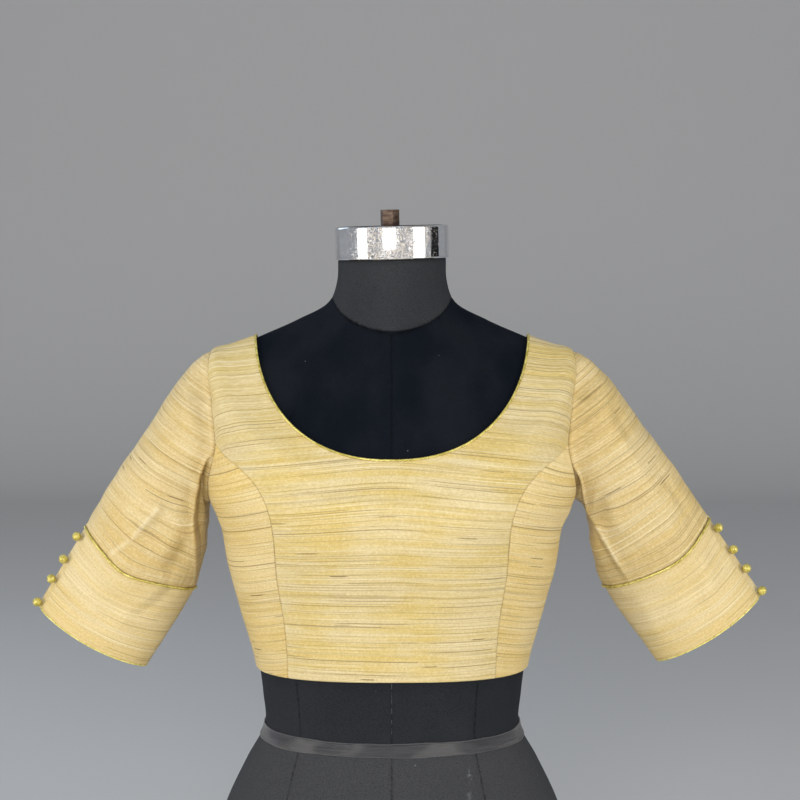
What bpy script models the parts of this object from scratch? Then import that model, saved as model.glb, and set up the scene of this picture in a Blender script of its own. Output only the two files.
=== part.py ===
"""A short saree blouse (choli) in raw silk, worn by a limbless tailor's form.

Metres, +Z up. The origin is on the floor, under the middle of the form. The front faces -Y and the
wearer's left side is at +X. Every cloth piece is a thin wall cut as a tailor cuts it: a centre front
between two princess seams, two side fronts, two backs that lap at the centre, two sleeves, two cuffs.
"""

import math

import bmesh
import bpy
import numpy as np
from mathutils import Vector

# Driving sizes
CLOTH = 0.0012  # silk, interlining and cotton lining together
SEAM_GAP = 0.0004  # between two pieces that are sewn edge to edge
CLEAR = 0.00035  # between a piece and what carries it
SHOULDER_HALF = 0.178  # centre front to the top of the armhole seam
PIPING_RADIUS = 0.0011
PIPING_STOP = 0.0015  # from the lap's edge to the far end of the neckline's piping
CUFF_PIPING_RADIUS = 0.0012
BUTTON_RADIUS = 0.0046
# The left back reaches past the centre to -OVERLAP, over the right back, whose edge is at
# UNDERLAP. The left back leaves the form at LAP_ROOT and is fully lifted from LAP_FULL on.
OVERLAP, UNDERLAP, LAP_FULL, LAP_ROOT = 0.010, 0.004, 0.007, 0.018
LAP_LIFT = CLOTH + 0.0005

# The torso, as rings from the foot of the form to the top of its neck.
# level orders the rings; side_z, front_z and back_z are a ring's heights at those places, and
# half_width, front and back are its reach there. The ease columns are the room that the blouse
# leaves outside the form, and square is the ring's superellipse power, 2 for an ellipse.
TORSO_COLUMNS = (
    "level", "side_z", "front_z", "back_z", "half_width", "front", "back",
    "ease_side", "ease_front", "ease_back", "square",
)
TORSO_ROWS = (
    # foot
    (0.000, 0.0000, 0.0000, 0.0000, 0.1700, 0.1130, 0.1270, 0.0020, 0.0020, 0.0020, 2.30),
    (0.010, 0.0100, 0.0100, 0.0100, 0.1760, 0.1180, 0.1325, 0.0020, 0.0020, 0.0020, 2.30),
    # hips
    (0.090, 0.0900, 0.0900, 0.0900, 0.1850, 0.1220, 0.1395, 0.0020, 0.0020, 0.0020, 2.25),
    (0.180, 0.1800, 0.1800, 0.1800, 0.1690, 0.1120, 0.1180, 0.0020, 0.0020, 0.0020, 2.20),
    (0.225, 0.2250, 0.2250, 0.2250, 0.1480, 0.1030, 0.0990, 0.0020, 0.0020, 0.0020, 2.20),
    # waist, ribs and the blouse's hem
    (0.262, 0.2620, 0.2600, 0.2620, 0.1290, 0.0975, 0.0860, 0.0020, 0.0020, 0.0020, 2.25),
    (0.295, 0.2950, 0.2950, 0.2950, 0.1305, 0.0975, 0.0865, 0.0015, 0.0016, 0.0016, 2.30),
    (0.330, 0.3300, 0.3300, 0.3300, 0.1350, 0.1000, 0.0890, 0.0025, 0.0020, 0.0020, 2.35),
    # under the bust
    (0.385, 0.3850, 0.3850, 0.3850, 0.1470, 0.1080, 0.0930, 0.0056, 0.0045, 0.0030, 2.40),
    (0.430, 0.4300, 0.4300, 0.4300, 0.1555, 0.1195, 0.0965, 0.0086, 0.0042, 0.0025, 2.45),
    # bust
    (0.474, 0.4740, 0.4740, 0.4740, 0.1615, 0.1260, 0.0990, 0.0110, 0.0024, 0.0022, 2.50),
    # underarm, the arm plates and the shoulder's tip
    (0.495, 0.4950, 0.4910, 0.4950, 0.1642, 0.1275, 0.1000, 0.0175, 0.0020, 0.0020, 2.55),
    (0.570, 0.5700, 0.5130, 0.5250, 0.1685, 0.1225, 0.1030, 0.0120, 0.0018, 0.0018, 2.55),
    (0.615, 0.6120, 0.5240, 0.5390, 0.1712, 0.1190, 0.1035, 0.0105, 0.0016, 0.0016, 2.50),
    (0.640, 0.6335, 0.5300, 0.5475, 0.1700, 0.1170, 0.1035, 0.0085, 0.0014, 0.0014, 2.45),
    (0.655, 0.6425, 0.5335, 0.5520, 0.1610, 0.1155, 0.1030, 0.0036, 0.0014, 0.0014, 2.40),
    # the blouse's neckline
    (0.685, 0.6535, 0.5410, 0.5620, 0.1362, 0.1125, 0.1015, 0.0018, 0.0014, 0.0014, 2.30),
    # shoulder, foot of the neck, neck
    (0.728, 0.6720, 0.5870, 0.6230, 0.0940, 0.0975, 0.0880, 0.0014, 0.0014, 0.0014, 2.15),
    (0.765, 0.6910, 0.6550, 0.6860, 0.0640, 0.0710, 0.0660, 0.0014, 0.0014, 0.0014, 2.00),
    (0.790, 0.7120, 0.7000, 0.7120, 0.0566, 0.0585, 0.0575, 0.0014, 0.0014, 0.0014, 2.00),
    (0.812, 0.7345, 0.7345, 0.7345, 0.0556, 0.0556, 0.0556, 0.0014, 0.0014, 0.0014, 2.00),
)
RIDGE = 0.20  # rounding of a ring where it crosses the shoulder, as a share of its depth
BUST_X, BUST_Z = 0.088, 0.474  # the fullest point of each side
BUST_RISE, BUST_SPREAD, BUST_ABOVE, BUST_BELOW = 0.012, 0.048, 0.046, 0.050

# Levels of the blouse's edges
HEM_LEVEL, HEM_FRONT_RISE = 0.3235, 0.0015
NECK_LEVEL = 0.685
ARMHOLE_TOP, ARMHOLE_FOOT = 0.640, 0.4925
ARMHOLE_FRONT, ARMHOLE_BACK = 0.052, 0.052  # how far the armhole reaches forward and back
PRINCESS_START = 88.0  # where the princess seam meets the armhole, in degrees down its front

# The princess seam on the front, from the hem up: height and distance from the centre.
PRINCESS_COLUMNS = ("height", "from_centre")
PRINCESS_ROWS = (
    (0.3250, 0.1015),
    (0.3500, 0.1020),
    (0.3750, 0.1035),
    (0.4100, 0.1080),
    (0.4450, 0.1115),
    (0.4700, 0.1130),
    (0.4900, 0.1165),
    (0.5050, 0.1220),
    (0.5200, 0.1320),
    (0.5340, 0.1480),
)

# A sleeve, as slanted rings from the armhole (reach 0) to the hem (reach 1). Each ring is spanned
# by its outer and inner point, seen from the front, and by how deep it is to the front and back.
SLEEVE_COLUMNS = (
    "reach", "outer_x", "outer_z", "inner_x", "inner_z", "front", "back", "centre_y", "bow",
)
SLEEVE_ROWS = (
    # armhole
    (0.00, 0.1783, 0.6400, 0.1840, 0.4925, 0.0510, 0.0510, 0.0000, 0.0000),
    # cap
    (0.12, 0.2065, 0.6208, 0.1905, 0.4790, 0.0515, 0.0515, 0.0005, 0.0000),
    # upper arm
    (0.30, 0.2447, 0.5690, 0.1940, 0.4620, 0.0480, 0.0480, 0.0020, 0.0000),
    (0.50, 0.2850, 0.5130, 0.1975, 0.4360, 0.0420, 0.0420, 0.0050, 0.0020),
    # seam of the cuff
    (0.70, 0.3148, 0.4662, 0.2079, 0.4009, 0.0360, 0.0360, 0.0090, 0.0115),
    # hem
    (1.00, 0.3664, 0.3876, 0.2598, 0.3219, 0.0320, 0.0320, 0.0120, 0.0050),
)
SEAM_REACH = 0.70
ROOT_REACH = 0.17  # the stretch in which the sleeve leaves the armhole and takes its own shape
SWING = {"left": 1.75, "right": -1.75}  # degrees each sleeve hangs out from the mean
CREASE_AT, CREASE_WIDTH, CREASE_HEIGHT = 150.0, 15.0, 0.0035  # front edge of the inner fold

# Cuff: its front end laps over its back end along the outer edge
# Degrees round the sleeve: where each end of the strip is, and where the back end starts to go in
LAP_FRONT_END, LAP_BACK_END, LAP_ENTRY = 10.0, 384.0, 350.0
LAP_DEPTH = CLOTH + 0.0004
BUTTON_ANGLE = 15.0
BUTTON_PLACES = (0.12, 0.415, 0.665, 0.96)  # shares of the cuff's depth

# Counts of faces
PRINCESS_COUNT, ARMHOLE_COUNT, UNDERARM_COUNT, BACK_ARMHOLE_COUNT = 12, 6, 6, 12
NECK_COUNT, SHOULDER_COUNT, BACK_NECK_COUNT = 13, 3, 8
CUFF_COUNT = 6
CROWDING = 1.35  # above 1, the points of the edges lie closer near the shoulder
FADING = 3.0  # how fast the shape of a piece's foot and top dies out inside it
RELAXING = 120  # rounds of evening out the points inside a piece
MEAN_RADIUS = 0.15  # turns angles round the body into lengths while a grid is relaxed


# Interpolation

def column_of(rows, columns, name):
    return np.array([row[columns.index(name)] for row in rows], float)


def hermite(knots, values, at):
    """A smooth curve through the values, with slopes taken from the neighbours."""
    step = np.diff(knots)
    rise = np.diff(values) / step
    slope = np.empty_like(values)
    slope[1:-1] = (rise[:-1] * step[1:] + rise[1:] * step[:-1]) / (step[1:] + step[:-1])
    slope[0], slope[-1] = rise[0], rise[-1]
    at = np.clip(at, knots[0], knots[-1])
    i = np.clip(np.searchsorted(knots, at, side="right") - 1, 0, len(step) - 1)
    h = step[i]
    t = (at - knots[i]) / h
    return (
        values[i] * (1 + 2 * t) * (1 - t) ** 2
        + values[i + 1] * t * t * (3 - 2 * t)
        + h * slope[i] * t * (1 - t) ** 2
        - h * slope[i + 1] * t * t * (1 - t)
    )


def torso(name, level):
    return hermite(
        column_of(TORSO_ROWS, TORSO_COLUMNS, "level"),
        column_of(TORSO_ROWS, TORSO_COLUMNS, name),
        level,
    )


def sleeve(name, reach):
    return hermite(
        column_of(SLEEVE_ROWS, SLEEVE_COLUMNS, "reach"),
        column_of(SLEEVE_ROWS, SLEEVE_COLUMNS, name),
        reach,
    )


def smoothstep(t):
    t = np.clip(t, 0.0, 1.0)
    return t * t * (3 - 2 * t)


def unit(v):
    return v / np.maximum(np.linalg.norm(v, axis=-1, keepdims=True), 1e-12)


# The form's surface and the blouse's surface over it

def fullness(x, z, bridged):
    """How far the bust stands forward. Cloth bridges from one side to the other."""
    aside = np.abs(x) - BUST_X
    if bridged:
        aside = np.maximum(aside, 0.0)
    away = z - BUST_Z
    tall = np.where(away > 0, BUST_ABOVE, BUST_BELOW)
    return BUST_RISE * np.exp(-((aside / BUST_SPREAD) ** 2) - (away / tall) ** 2)


def form_point(angle, level, bridged=False):
    """The form's surface. angle is 0 at the wearer's left side and -90 degrees at the front."""
    angle, level = np.broadcast_arrays(np.asarray(angle, float), np.asarray(level, float))
    ahead = np.sin(angle) < 0
    depth = np.where(ahead, torso("front", level), torso("back", level))
    end_z = np.where(ahead, torso("front_z", level), torso("back_z", level))
    width, side_z, power = (torso(n, level) for n in ("half_width", "side_z", "square"))
    radius = (
        np.abs(np.cos(angle) / width) ** power + np.abs(np.sin(angle) / depth) ** power
    ) ** (-1 / power)
    x, y = radius * np.cos(angle), radius * np.sin(angle)
    share = (np.hypot(np.abs(y) / depth, RIDGE) - RIDGE) / (math.hypot(1, RIDGE) - RIDGE)
    z = side_z + (end_z - side_z) * share
    y = y - np.where(ahead, fullness(x, z, bridged) * share, 0.0)
    return np.stack([x, y, z], axis=-1)


def torso_normal(angle, level, bridged=False):
    small = 1e-4
    around = form_point(angle + small, level, bridged) - form_point(angle - small, level, bridged)
    up = form_point(angle, level + small, bridged) - form_point(angle, level - small, bridged)
    return unit(np.cross(around, up))


def cloth_point(angle, level, lift=0.0):
    """The blouse's inner surface over the form, moved out by lift."""
    angle, level = np.broadcast_arrays(np.asarray(angle, float), np.asarray(level, float))
    sideways = np.cos(angle) ** 4
    ends = np.where(np.sin(angle) < 0, torso("ease_front", level), torso("ease_back", level))
    ease = torso("ease_side", level) * sideways + ends * (1 - sideways)
    out = np.asarray(ease + lift)[..., None]
    return form_point(angle, level, True) + out * torso_normal(angle, level, True)


def place_on_front(from_centre, height):
    """The angle and level of the blouse's point at that height and distance from the centre."""
    angle, level = -math.acos(min(from_centre / 0.19, 1.0)), height
    for _ in range(40):
        here = cloth_point(angle, level)
        miss = np.array([from_centre - here[0], height - here[2]])
        small = 1e-4
        turned = (cloth_point(angle + small, level) - here)[[0, 2]] / small
        raised = (cloth_point(angle, level + small) - here)[[0, 2]] / small
        step = np.linalg.solve(np.stack([turned, raised], axis=1), miss)
        angle += float(np.clip(step[0], -0.1, 0.1))
        level += float(np.clip(step[1], -0.02, 0.02))
    return angle, level


# Edges of the pieces, as rows of (angle, level) on the blouse

def spaced(curve, shares):
    """Points of a curve at the given shares of its length on the blouse."""
    curve = np.asarray(curve, float)
    points = cloth_point(curve[:, 0], curve[:, 1])
    run = np.concatenate([[0], np.cumsum(np.linalg.norm(np.diff(points, axis=0), axis=1))])
    at = np.asarray(shares) * run[-1]
    return np.stack([np.interp(at, run, curve[:, k]) for k in (0, 1)], axis=-1)


def even(count):
    return np.linspace(0, 1, count + 1)


def armhole(turn):
    """The armhole seam: turn is 0 at the shoulder, 90 degrees in front and 180 under the arm."""
    turn = np.radians(turn)
    middle, half = (ARMHOLE_TOP + ARMHOLE_FOOT) / 2, (ARMHOLE_TOP - ARMHOLE_FOOT) / 2
    reach = np.where(np.sin(turn) > 0, ARMHOLE_FRONT, ARMHOLE_BACK)
    angle = -np.arctan2(reach * np.sin(turn), SHOULDER_HALF)
    return np.stack([angle, middle + half * np.cos(turn)], axis=-1)


def hem_level(angle):
    return HEM_LEVEL + HEM_FRONT_RISE * np.maximum(-np.sin(angle), 0) ** 2


def princess_seam():
    """From the hem up to the armhole."""
    height = column_of(PRINCESS_ROWS, PRINCESS_COLUMNS, "height")
    aside = column_of(PRINCESS_ROWS, PRINCESS_COLUMNS, "from_centre")
    places = np.array([place_on_front(x, z) for x, z in zip(aside, height)])
    places[0, 1] = hem_level(places[0, 0])
    places = np.vstack([places, armhole(PRINCESS_START)])
    knots = np.arange(len(places), dtype=float)
    fine = np.linspace(0, knots[-1], 120)
    return np.stack([hermite(knots, places[:, k], fine) for k in (0, 1)], axis=-1)


def line(start, end, count=60):
    return np.linspace(start, end, count)


def hem_line(start, end, count=60):
    angle = np.linspace(start, end, count)
    return np.stack([angle, hem_level(angle)], axis=-1)


def turns_of_armhole():
    """Where the pieces' points lie round the armhole: the upper front, underarm front and back."""
    upper = PRINCESS_START * even(ARMHOLE_COUNT) ** CROWDING
    under = PRINCESS_START + (180 - PRINCESS_START) * even(UNDERARM_COUNT)
    back = 360 - 180 * even(BACK_ARMHOLE_COUNT)[::-1] ** CROWDING
    return upper, under, back


def patch(foot, top, left, right):
    """Fills four edges with a grid, rows from foot to top. The corners are shared.

    The rows start straight across, with the shape of the foot and top dying out away from them.
    The points inside are then relaxed until the grid is even and nowhere folds over an edge.
    """
    across = np.linspace(0, 1, len(foot))[None, :, None]
    up = np.linspace(0, 1, len(left))[:, None, None]
    grid = (1 - across) * left[:, None] + across * right[:, None]
    grid += (1 - up) ** FADING * (foot - (1 - across) * foot[0] - across * foot[-1])
    grid += up ** FADING * (top - (1 - across) * top[0] - across * top[-1])
    scale = np.array([MEAN_RADIUS, 1.0])
    grid *= scale
    for _ in range(RELAXING):
        north, south, east, west = grid[2:, 1:-1], grid[:-2, 1:-1], grid[1:-1, 2:], grid[1:-1, :-2]
        row_way, column_way = (east - west) / 2, (north - south) / 2
        turn = (grid[2:, 2:] - grid[2:, :-2] - grid[:-2, 2:] + grid[:-2, :-2]) / 4
        by_rows = np.sum(column_way**2, axis=-1, keepdims=True)
        by_columns = np.sum(row_way**2, axis=-1, keepdims=True)
        skew = np.sum(row_way * column_way, axis=-1, keepdims=True)
        grid[1:-1, 1:-1] = (
            by_rows * (east + west) + by_columns * (north + south) - 2 * skew * turn
        ) / (2 * (by_rows + by_columns))
    return grid / scale


def drawn_in(points):
    """Moves a grid's outer points in by half a seam gap, squarely to its edges."""
    moved = points.copy()
    for edge, next_in in ((np.s_[0], np.s_[1]), (np.s_[-1], np.s_[-2]),
                          (np.s_[:, 0], np.s_[:, 1]), (np.s_[:, -1], np.s_[:, -2])):
        along = unit(np.gradient(points[edge], axis=0))
        inward = points[next_in] - points[edge]
        inward = inward - along * np.sum(inward * along, axis=-1, keepdims=True)
        moved[edge] += unit(inward) * SEAM_GAP / 2
    return moved


# Blender objects

def material(name, colour, roughness, metallic=0.0):
    made = bpy.data.materials.new(name)
    made.use_nodes = True
    shader = made.node_tree.nodes["Principled BSDF"]
    shader.inputs["Base Color"].default_value = (*colour, 1)
    shader.inputs["Roughness"].default_value = roughness
    shader.inputs["Metallic"].default_value = metallic
    made.diffuse_color = (*colour, 1)
    return made


def finish(name, mesh, look):
    mesh.materials.append(look)
    mesh.shade_smooth()
    mesh.set_sharp_from_angle(angle=math.radians(40))
    made = bpy.data.objects.new(name, mesh)
    bpy.context.scene.collection.objects.link(made)
    return made


def grid_mesh(name, points, closed=False):
    """A mesh on rows of points. The faces look along (along a row) x (up the rows).

    Each cell is cut into triangles along the diagonal that stands further out, so that cloth
    never dips between its points.
    """
    rows, across = points.shape[:2]
    flat = points.reshape(-1, 3)
    faces = []
    for k in range(rows - 1):
        for j in range(across if closed else across - 1):
            i = (j + 1) % across
            a, b = k * across + j, k * across + i
            c, d = (k + 1) * across + i, (k + 1) * across + j
            out = np.cross(flat[c] - flat[a], flat[d] - flat[b])
            if np.dot(flat[a] + flat[c] - flat[b] - flat[d], out) > 0:
                faces += [(a, b, c), (a, c, d)]
            else:
                faces += [(a, b, d), (b, c, d)]
    mesh = bpy.data.meshes.new(name)
    mesh.from_pydata([Vector(p) for p in flat], [], faces)
    mesh.update()
    return mesh


def cloth_wall(name, points, look, closed=False, offset=1.0):
    """A cloth piece: one layer of quads, given its thickness. offset 1 grows outwards only."""
    made = finish(name, grid_mesh(name, points, closed), look)
    wall = made.modifiers.new("cloth", "SOLIDIFY")
    wall.thickness = CLOTH
    wall.offset = offset
    return made


def mirrored(points):
    """The same grid on the wearer's other side, still facing out."""
    return (points * (-1, 1, 1))[:, ::-1]


def tube_mesh(name, path, radius, sides):
    """A round cord along a path, closed with flat ends."""
    ahead = unit(np.gradient(path, axis=0))
    made = bmesh.new()
    side = unit(np.cross(ahead[0], (0.0, 0.0, 1.0)))
    rings = []
    for point, forward in zip(path, ahead):
        side = unit(side - forward * np.dot(side, forward))
        other = np.cross(forward, side)
        rings.append([
            made.verts.new(point + radius * (math.cos(a) * side + math.sin(a) * other))
            for a in np.linspace(0, 2 * math.pi, sides, endpoint=False)
        ])
    for first, second in zip(rings, rings[1:]):
        for j in range(sides):
            i = (j + 1) % sides
            made.faces.new((first[j], first[i], second[i], second[j]))
    made.faces.new(rings[0][::-1])
    made.faces.new(rings[-1])
    bmesh.ops.recalc_face_normals(made, faces=made.faces)
    mesh = bpy.data.meshes.new(name)
    made.to_mesh(mesh)
    made.free()
    return mesh


def turned_solid(name, profile, sides, look):
    """A solid of revolution about Z from (radius, height) rows, closed at both ends."""
    made = bmesh.new()
    outline = [made.verts.new((r, 0, h)) for r, h in profile]
    edges = [made.edges.new(pair) for pair in zip(outline, outline[1:])]
    bmesh.ops.spin(
        made, geom=outline + edges, axis=(0, 0, 1), cent=(0, 0, 0),
        steps=sides, angle=2 * math.pi,
    )
    bmesh.ops.remove_doubles(made, verts=made.verts, dist=1e-6)
    bmesh.ops.holes_fill(made, edges=[e for e in made.edges if e.is_boundary], sides=0)
    bmesh.ops.recalc_face_normals(made, faces=made.faces)
    mesh = bpy.data.meshes.new(name)
    made.to_mesh(mesh)
    made.free()
    return finish(name, mesh, look)


# The form: torso, waist tape, cap and nut

FORM_SIDES = 48
TAPE_LEVELS = (0.2515, 0.2655)
FORM_LEVELS = (
    0.0, 0.004, 0.010, 0.045, 0.090, 0.130, 0.165, 0.195, 0.225, *TAPE_LEVELS,
    0.285, 0.315, 0.350, 0.390, 0.420, 0.445, 0.465, 0.485, 0.510, 0.540, 0.575,
    0.605, 0.625, 0.640, 0.655, 0.670, 0.685, 0.706, 0.728, 0.746, 0.765, 0.778, 0.790, 0.812,
)
TAPE_THICKNESS = 0.0010
CAP_RADIUS, CAP_FOOT, CAP_TOP, CAP_BEVEL = 0.0568, 0.7348, 0.7648, 0.0022
NUT_RADIUS, NUT_TOP = 0.0098, 0.7808


def form_angles():
    return np.linspace(-math.pi, math.pi, FORM_SIDES, endpoint=False)


def build_form(look):
    angle, level = np.meshgrid(form_angles(), FORM_LEVELS)
    mesh = grid_mesh("form_body", form_point(angle, level), closed=True)
    solid = bmesh.new()
    solid.from_mesh(mesh)
    bmesh.ops.holes_fill(solid, edges=[e for e in solid.edges if e.is_boundary], sides=0)
    bmesh.ops.recalc_face_normals(solid, faces=solid.faces)
    solid.to_mesh(mesh)
    solid.free()
    return finish("form_body", mesh, look)


def build_waist_tape(look):
    angle, level = np.meshgrid(form_angles(), TAPE_LEVELS)
    on_form = form_point(angle, level)
    out = torso_normal(angle, level)
    near = on_form + out * CLEAR
    far = near + out * TAPE_THICKNESS
    band = np.concatenate([far, near[::-1], far[:1]])
    mesh = grid_mesh("waist_tape", band, closed=True)
    solid = bmesh.new()
    solid.from_mesh(mesh)
    bmesh.ops.remove_doubles(solid, verts=solid.verts, dist=1e-7)
    bmesh.ops.recalc_face_normals(solid, faces=solid.faces)
    solid.to_mesh(mesh)
    solid.free()
    return finish("waist_tape", mesh, look)


def build_cap_and_nut(chrome, bronze):
    turned_solid("neck_cap", (
        (CAP_RADIUS - 0.0008, CAP_FOOT),
        (CAP_RADIUS, CAP_FOOT + 0.0008),
        (CAP_RADIUS, CAP_TOP - CAP_BEVEL),
        (CAP_RADIUS - CAP_BEVEL * 0.3, CAP_TOP - CAP_BEVEL * 0.3),
        (CAP_RADIUS - CAP_BEVEL, CAP_TOP),
    ), 40, chrome)
    nut_foot = CAP_TOP + 0.0003
    turned_solid("pole_nut", (
        (NUT_RADIUS, nut_foot),
        (NUT_RADIUS, NUT_TOP - 0.0015),
        (NUT_RADIUS - 0.0012, NUT_TOP),
    ), 6, bronze)


# The body of the blouse

def neck_shares(count):
    """From the centre to the shoulder, where the neckline turns over the ridge of the form."""
    return 1 - (1 - even(count)) ** CROWDING


def top_edge(start, count):
    """The neckline from start to the shoulder, then along the shoulder seam to the armhole."""
    neck = spaced(line((start, NECK_LEVEL), (0, NECK_LEVEL)), neck_shares(count))
    shoulder = spaced(line((0, NECK_LEVEL), (0, ARMHOLE_TOP)), even(SHOULDER_COUNT))
    return np.vstack([neck[:-1], shoulder])


def front_centre_places():
    """Half of the centre front, from the centre line to the princess seam and armhole."""
    front = -math.pi / 2
    seam = spaced(princess_seam(), even(PRINCESS_COUNT))
    upper, _, _ = turns_of_armhole()
    right = np.vstack([seam[:-1], armhole(upper)[::-1]])
    left = spaced(line((front, hem_level(front)), (front, NECK_LEVEL)), even(len(right) - 1))
    top = top_edge(front, NECK_COUNT)
    foot = spaced(hem_line(front, seam[0, 0]), even(len(top) - 1))
    return patch(foot, top, left, right)


def side_front_places():
    seam = spaced(princess_seam(), even(PRINCESS_COUNT))
    _, under, _ = turns_of_armhole()
    side = spaced(line((0, HEM_LEVEL), (0, ARMHOLE_FOOT)), even(PRINCESS_COUNT))
    foot = spaced(hem_line(seam[0, 0], 0), even(UNDERARM_COUNT))
    return patch(foot, armhole(under), seam, side)


def angle_behind(x, level):
    """The angle at which the blouse's back, at that level, lies at x."""
    return math.atan2(float(torso("back", level)), x)


def back_line(x, count):
    """A line of the back that runs from the hem up to the neckline beside the centre."""
    low, high = (angle_behind(x, level) for level in (HEM_LEVEL, NECK_LEVEL))
    return spaced(line((low, HEM_LEVEL), (high, NECK_LEVEL)), even(count))


def back_places(edges):
    """A back: the lines beside the centre at those x, then a patch to the side and armhole."""
    _, _, back = turns_of_armhole()
    side = spaced(line((0, HEM_LEVEL), (0, ARMHOLE_FOOT)), even(PRINCESS_COUNT))
    right = np.vstack([side[:-1], armhole(back)])
    left = back_line(LAP_ROOT, len(right) - 1)
    top = top_edge(left[-1, 0], BACK_NECK_COUNT)
    foot = spaced(hem_line(left[0, 0], 0), even(len(top) - 1))
    main = patch(foot, top, left, right)
    beside = [back_line(x, len(right) - 1)[:, None] for x in edges]
    return np.concatenate([*beside, main], axis=1)


def lap_lift(x):
    """The left back rises over the right back where they lap."""
    return LAP_LIFT * smoothstep((LAP_ROOT - x) / (LAP_ROOT - LAP_FULL))


def build_body(look):
    half = front_centre_places()
    points = cloth_point(half[..., 0], half[..., 1])
    whole = np.concatenate([mirrored(points), points[:, 1:]], axis=1)
    cloth_wall("front_centre", drawn_in(whole), look)

    side = side_front_places()
    side = drawn_in(cloth_point(side[..., 0], side[..., 1]))
    cloth_wall("side_front_left", side, look)
    cloth_wall("side_front_right", mirrored(side), look)

    left = back_places((-OVERLAP, LAP_FULL))
    plain = cloth_point(left[..., 0], left[..., 1])
    lapped = cloth_point(left[..., 0], left[..., 1], lap_lift(plain[..., 0]))
    cloth_wall("back_left", drawn_in(lapped)[:, ::-1], look)
    right = back_places((-UNDERLAP, LAP_FULL))
    right = drawn_in(cloth_point(right[..., 0], right[..., 1]))
    cloth_wall("back_right", mirrored(right[:, ::-1]), look)


def neck_angles():
    """The neckline's points from the left back's edge round the front to the right back."""
    behind = top_edge(angle_behind(LAP_ROOT, NECK_LEVEL), BACK_NECK_COUNT)[:BACK_NECK_COUNT, 0]
    front = top_edge(-math.pi / 2, NECK_COUNT)[:NECK_COUNT + 1, 0][::-1]
    lap = [angle_behind(x, NECK_LEVEL) for x in (-OVERLAP, LAP_FULL)]
    half = np.concatenate([behind, front[:-1]])
    stop = -math.pi - angle_behind(OVERLAP + PIPING_STOP, NECK_LEVEL)
    return np.concatenate([lap, half, [-math.pi / 2], -math.pi - half[::-1], [stop]])


def neck_path():
    angle = neck_angles()
    edge = cloth_point(angle, NECK_LEVEL, CLOTH * 0.9)
    beyond = cloth_point(angle, NECK_LEVEL + 0.002, CLOTH * 0.9)
    lap = np.where(angle > 0, lap_lift(edge[:, 0]), 0.0)[:, None]
    inward = PIPING_RADIUS + CLEAR - SEAM_GAP / 4
    return edge + unit(beyond - edge) * inward + torso_normal(angle, NECK_LEVEL) * lap


def build_neck_piping(look):
    finish("neck_piping", tube_mesh("neck_piping", neck_path(), PIPING_RADIUS, 6), look)


# Sleeves and cuffs. The left one is worked out at +X, and the right one is mirrored.

def swung(x, z, swing):
    """Turns a point seen from the front about the top of the armhole."""
    a = math.radians(swing)
    dx, dz = x - SHOULDER_HALF, z - ARMHOLE_TOP
    return (
        SHOULDER_HALF + dx * math.cos(a) - dz * math.sin(a),
        ARMHOLE_TOP + dz * math.cos(a) + dx * math.sin(a),
    )


def sleeve_ring(turn, reach, swing, lift=0.0):
    """The sleeve's own shape: a slanted oval ring, with a crease at its front inner edge."""
    turn, reach = np.broadcast_arrays(np.radians(turn), np.asarray(reach, float))
    outer_x, outer_z = swung(sleeve("outer_x", reach), sleeve("outer_z", reach), swing)
    inner_x, inner_z = swung(sleeve("inner_x", reach), sleeve("inner_z", reach), swing)
    half_x, half_z = (outer_x - inner_x) / 2, (outer_z - inner_z) / 2
    width = np.hypot(half_x, half_z)
    depth = np.where(np.sin(turn) > 0, sleeve("front", reach), sleeve("back", reach))
    off_crease = (np.degrees(turn) % 360 - CREASE_AT) / CREASE_WIDTH
    rise = CREASE_HEIGHT * np.exp(-off_crease**2) * smoothstep(reach / 0.25)
    rise = rise * smoothstep((0.78 - reach) / 0.3)
    width_out, depth_out = 1 + (rise + lift) / width, 1 + (rise + lift) / depth
    bow = sleeve("bow", reach) * np.sin(turn) ** 2
    x = (outer_x + inner_x) / 2 + half_x * np.cos(turn) * width_out + bow * half_z / width
    z = (outer_z + inner_z) / 2 + half_z * np.cos(turn) * width_out - bow * half_x / width
    y = sleeve("centre_y", reach) - depth * np.sin(turn) * depth_out
    return np.stack([x, y, z], axis=-1)


def armhole_frame(turn):
    """The seam's middle, the blouse's normal there, and the way out of the cloth's edge."""
    place = armhole(turn)
    out = torso_normal(place[..., 0], place[..., 1], True)
    edge = cloth_point(place[..., 0], place[..., 1], CLOTH / 2)
    nearby = armhole(np.asarray(turn) + 0.5)
    along = cloth_point(nearby[..., 0], nearby[..., 1], CLOTH / 2) - edge
    return edge, out, unit(np.cross(out, along))


def sleeve_point(turn, reach, swing):
    """The sleeve with its root: it leaves the armhole seam squarely and turns into its own shape."""
    turn, reach = np.broadcast_arrays(np.asarray(turn, float), np.asarray(reach, float))
    edge, out, away = armhole_frame(turn)
    square = (0.15 + 0.85 * np.sin(np.radians(turn % 360) / 2))[..., None]
    leaving = unit(square * out + (1 - square) * away)
    start = edge + away * (CLEAR + CLOTH / 2 * square)
    own = sleeve_ring(turn, reach, swing)
    joined = sleeve_ring(turn, np.full_like(reach, ROOT_REACH), swing)
    small = 0.002
    onward = sleeve_ring(turn, np.full_like(reach, ROOT_REACH + small), swing) - joined
    t = np.clip(reach / ROOT_REACH, 0, 1)[..., None]
    span = np.linalg.norm(joined - start, axis=-1, keepdims=True)
    root = (
        start * (1 + 2 * t) * (1 - t) ** 2
        + joined * t * t * (3 - 2 * t)
        + leaving * span * t * (1 - t) ** 2
        - onward * (ROOT_REACH / small) * t * t * (1 - t)
    )
    return np.where(t < 1, root, own)


def sleeve_turns():
    """Round the sleeve: the armhole's own points at the root, and the cuff's lower down."""
    upper, under, back = turns_of_armhole()
    root = np.concatenate([upper[:-1], under[:-1], back[:-1]])
    return root, np.concatenate([[0.0], cuff_turns()[:len(root) - 1]])


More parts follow.
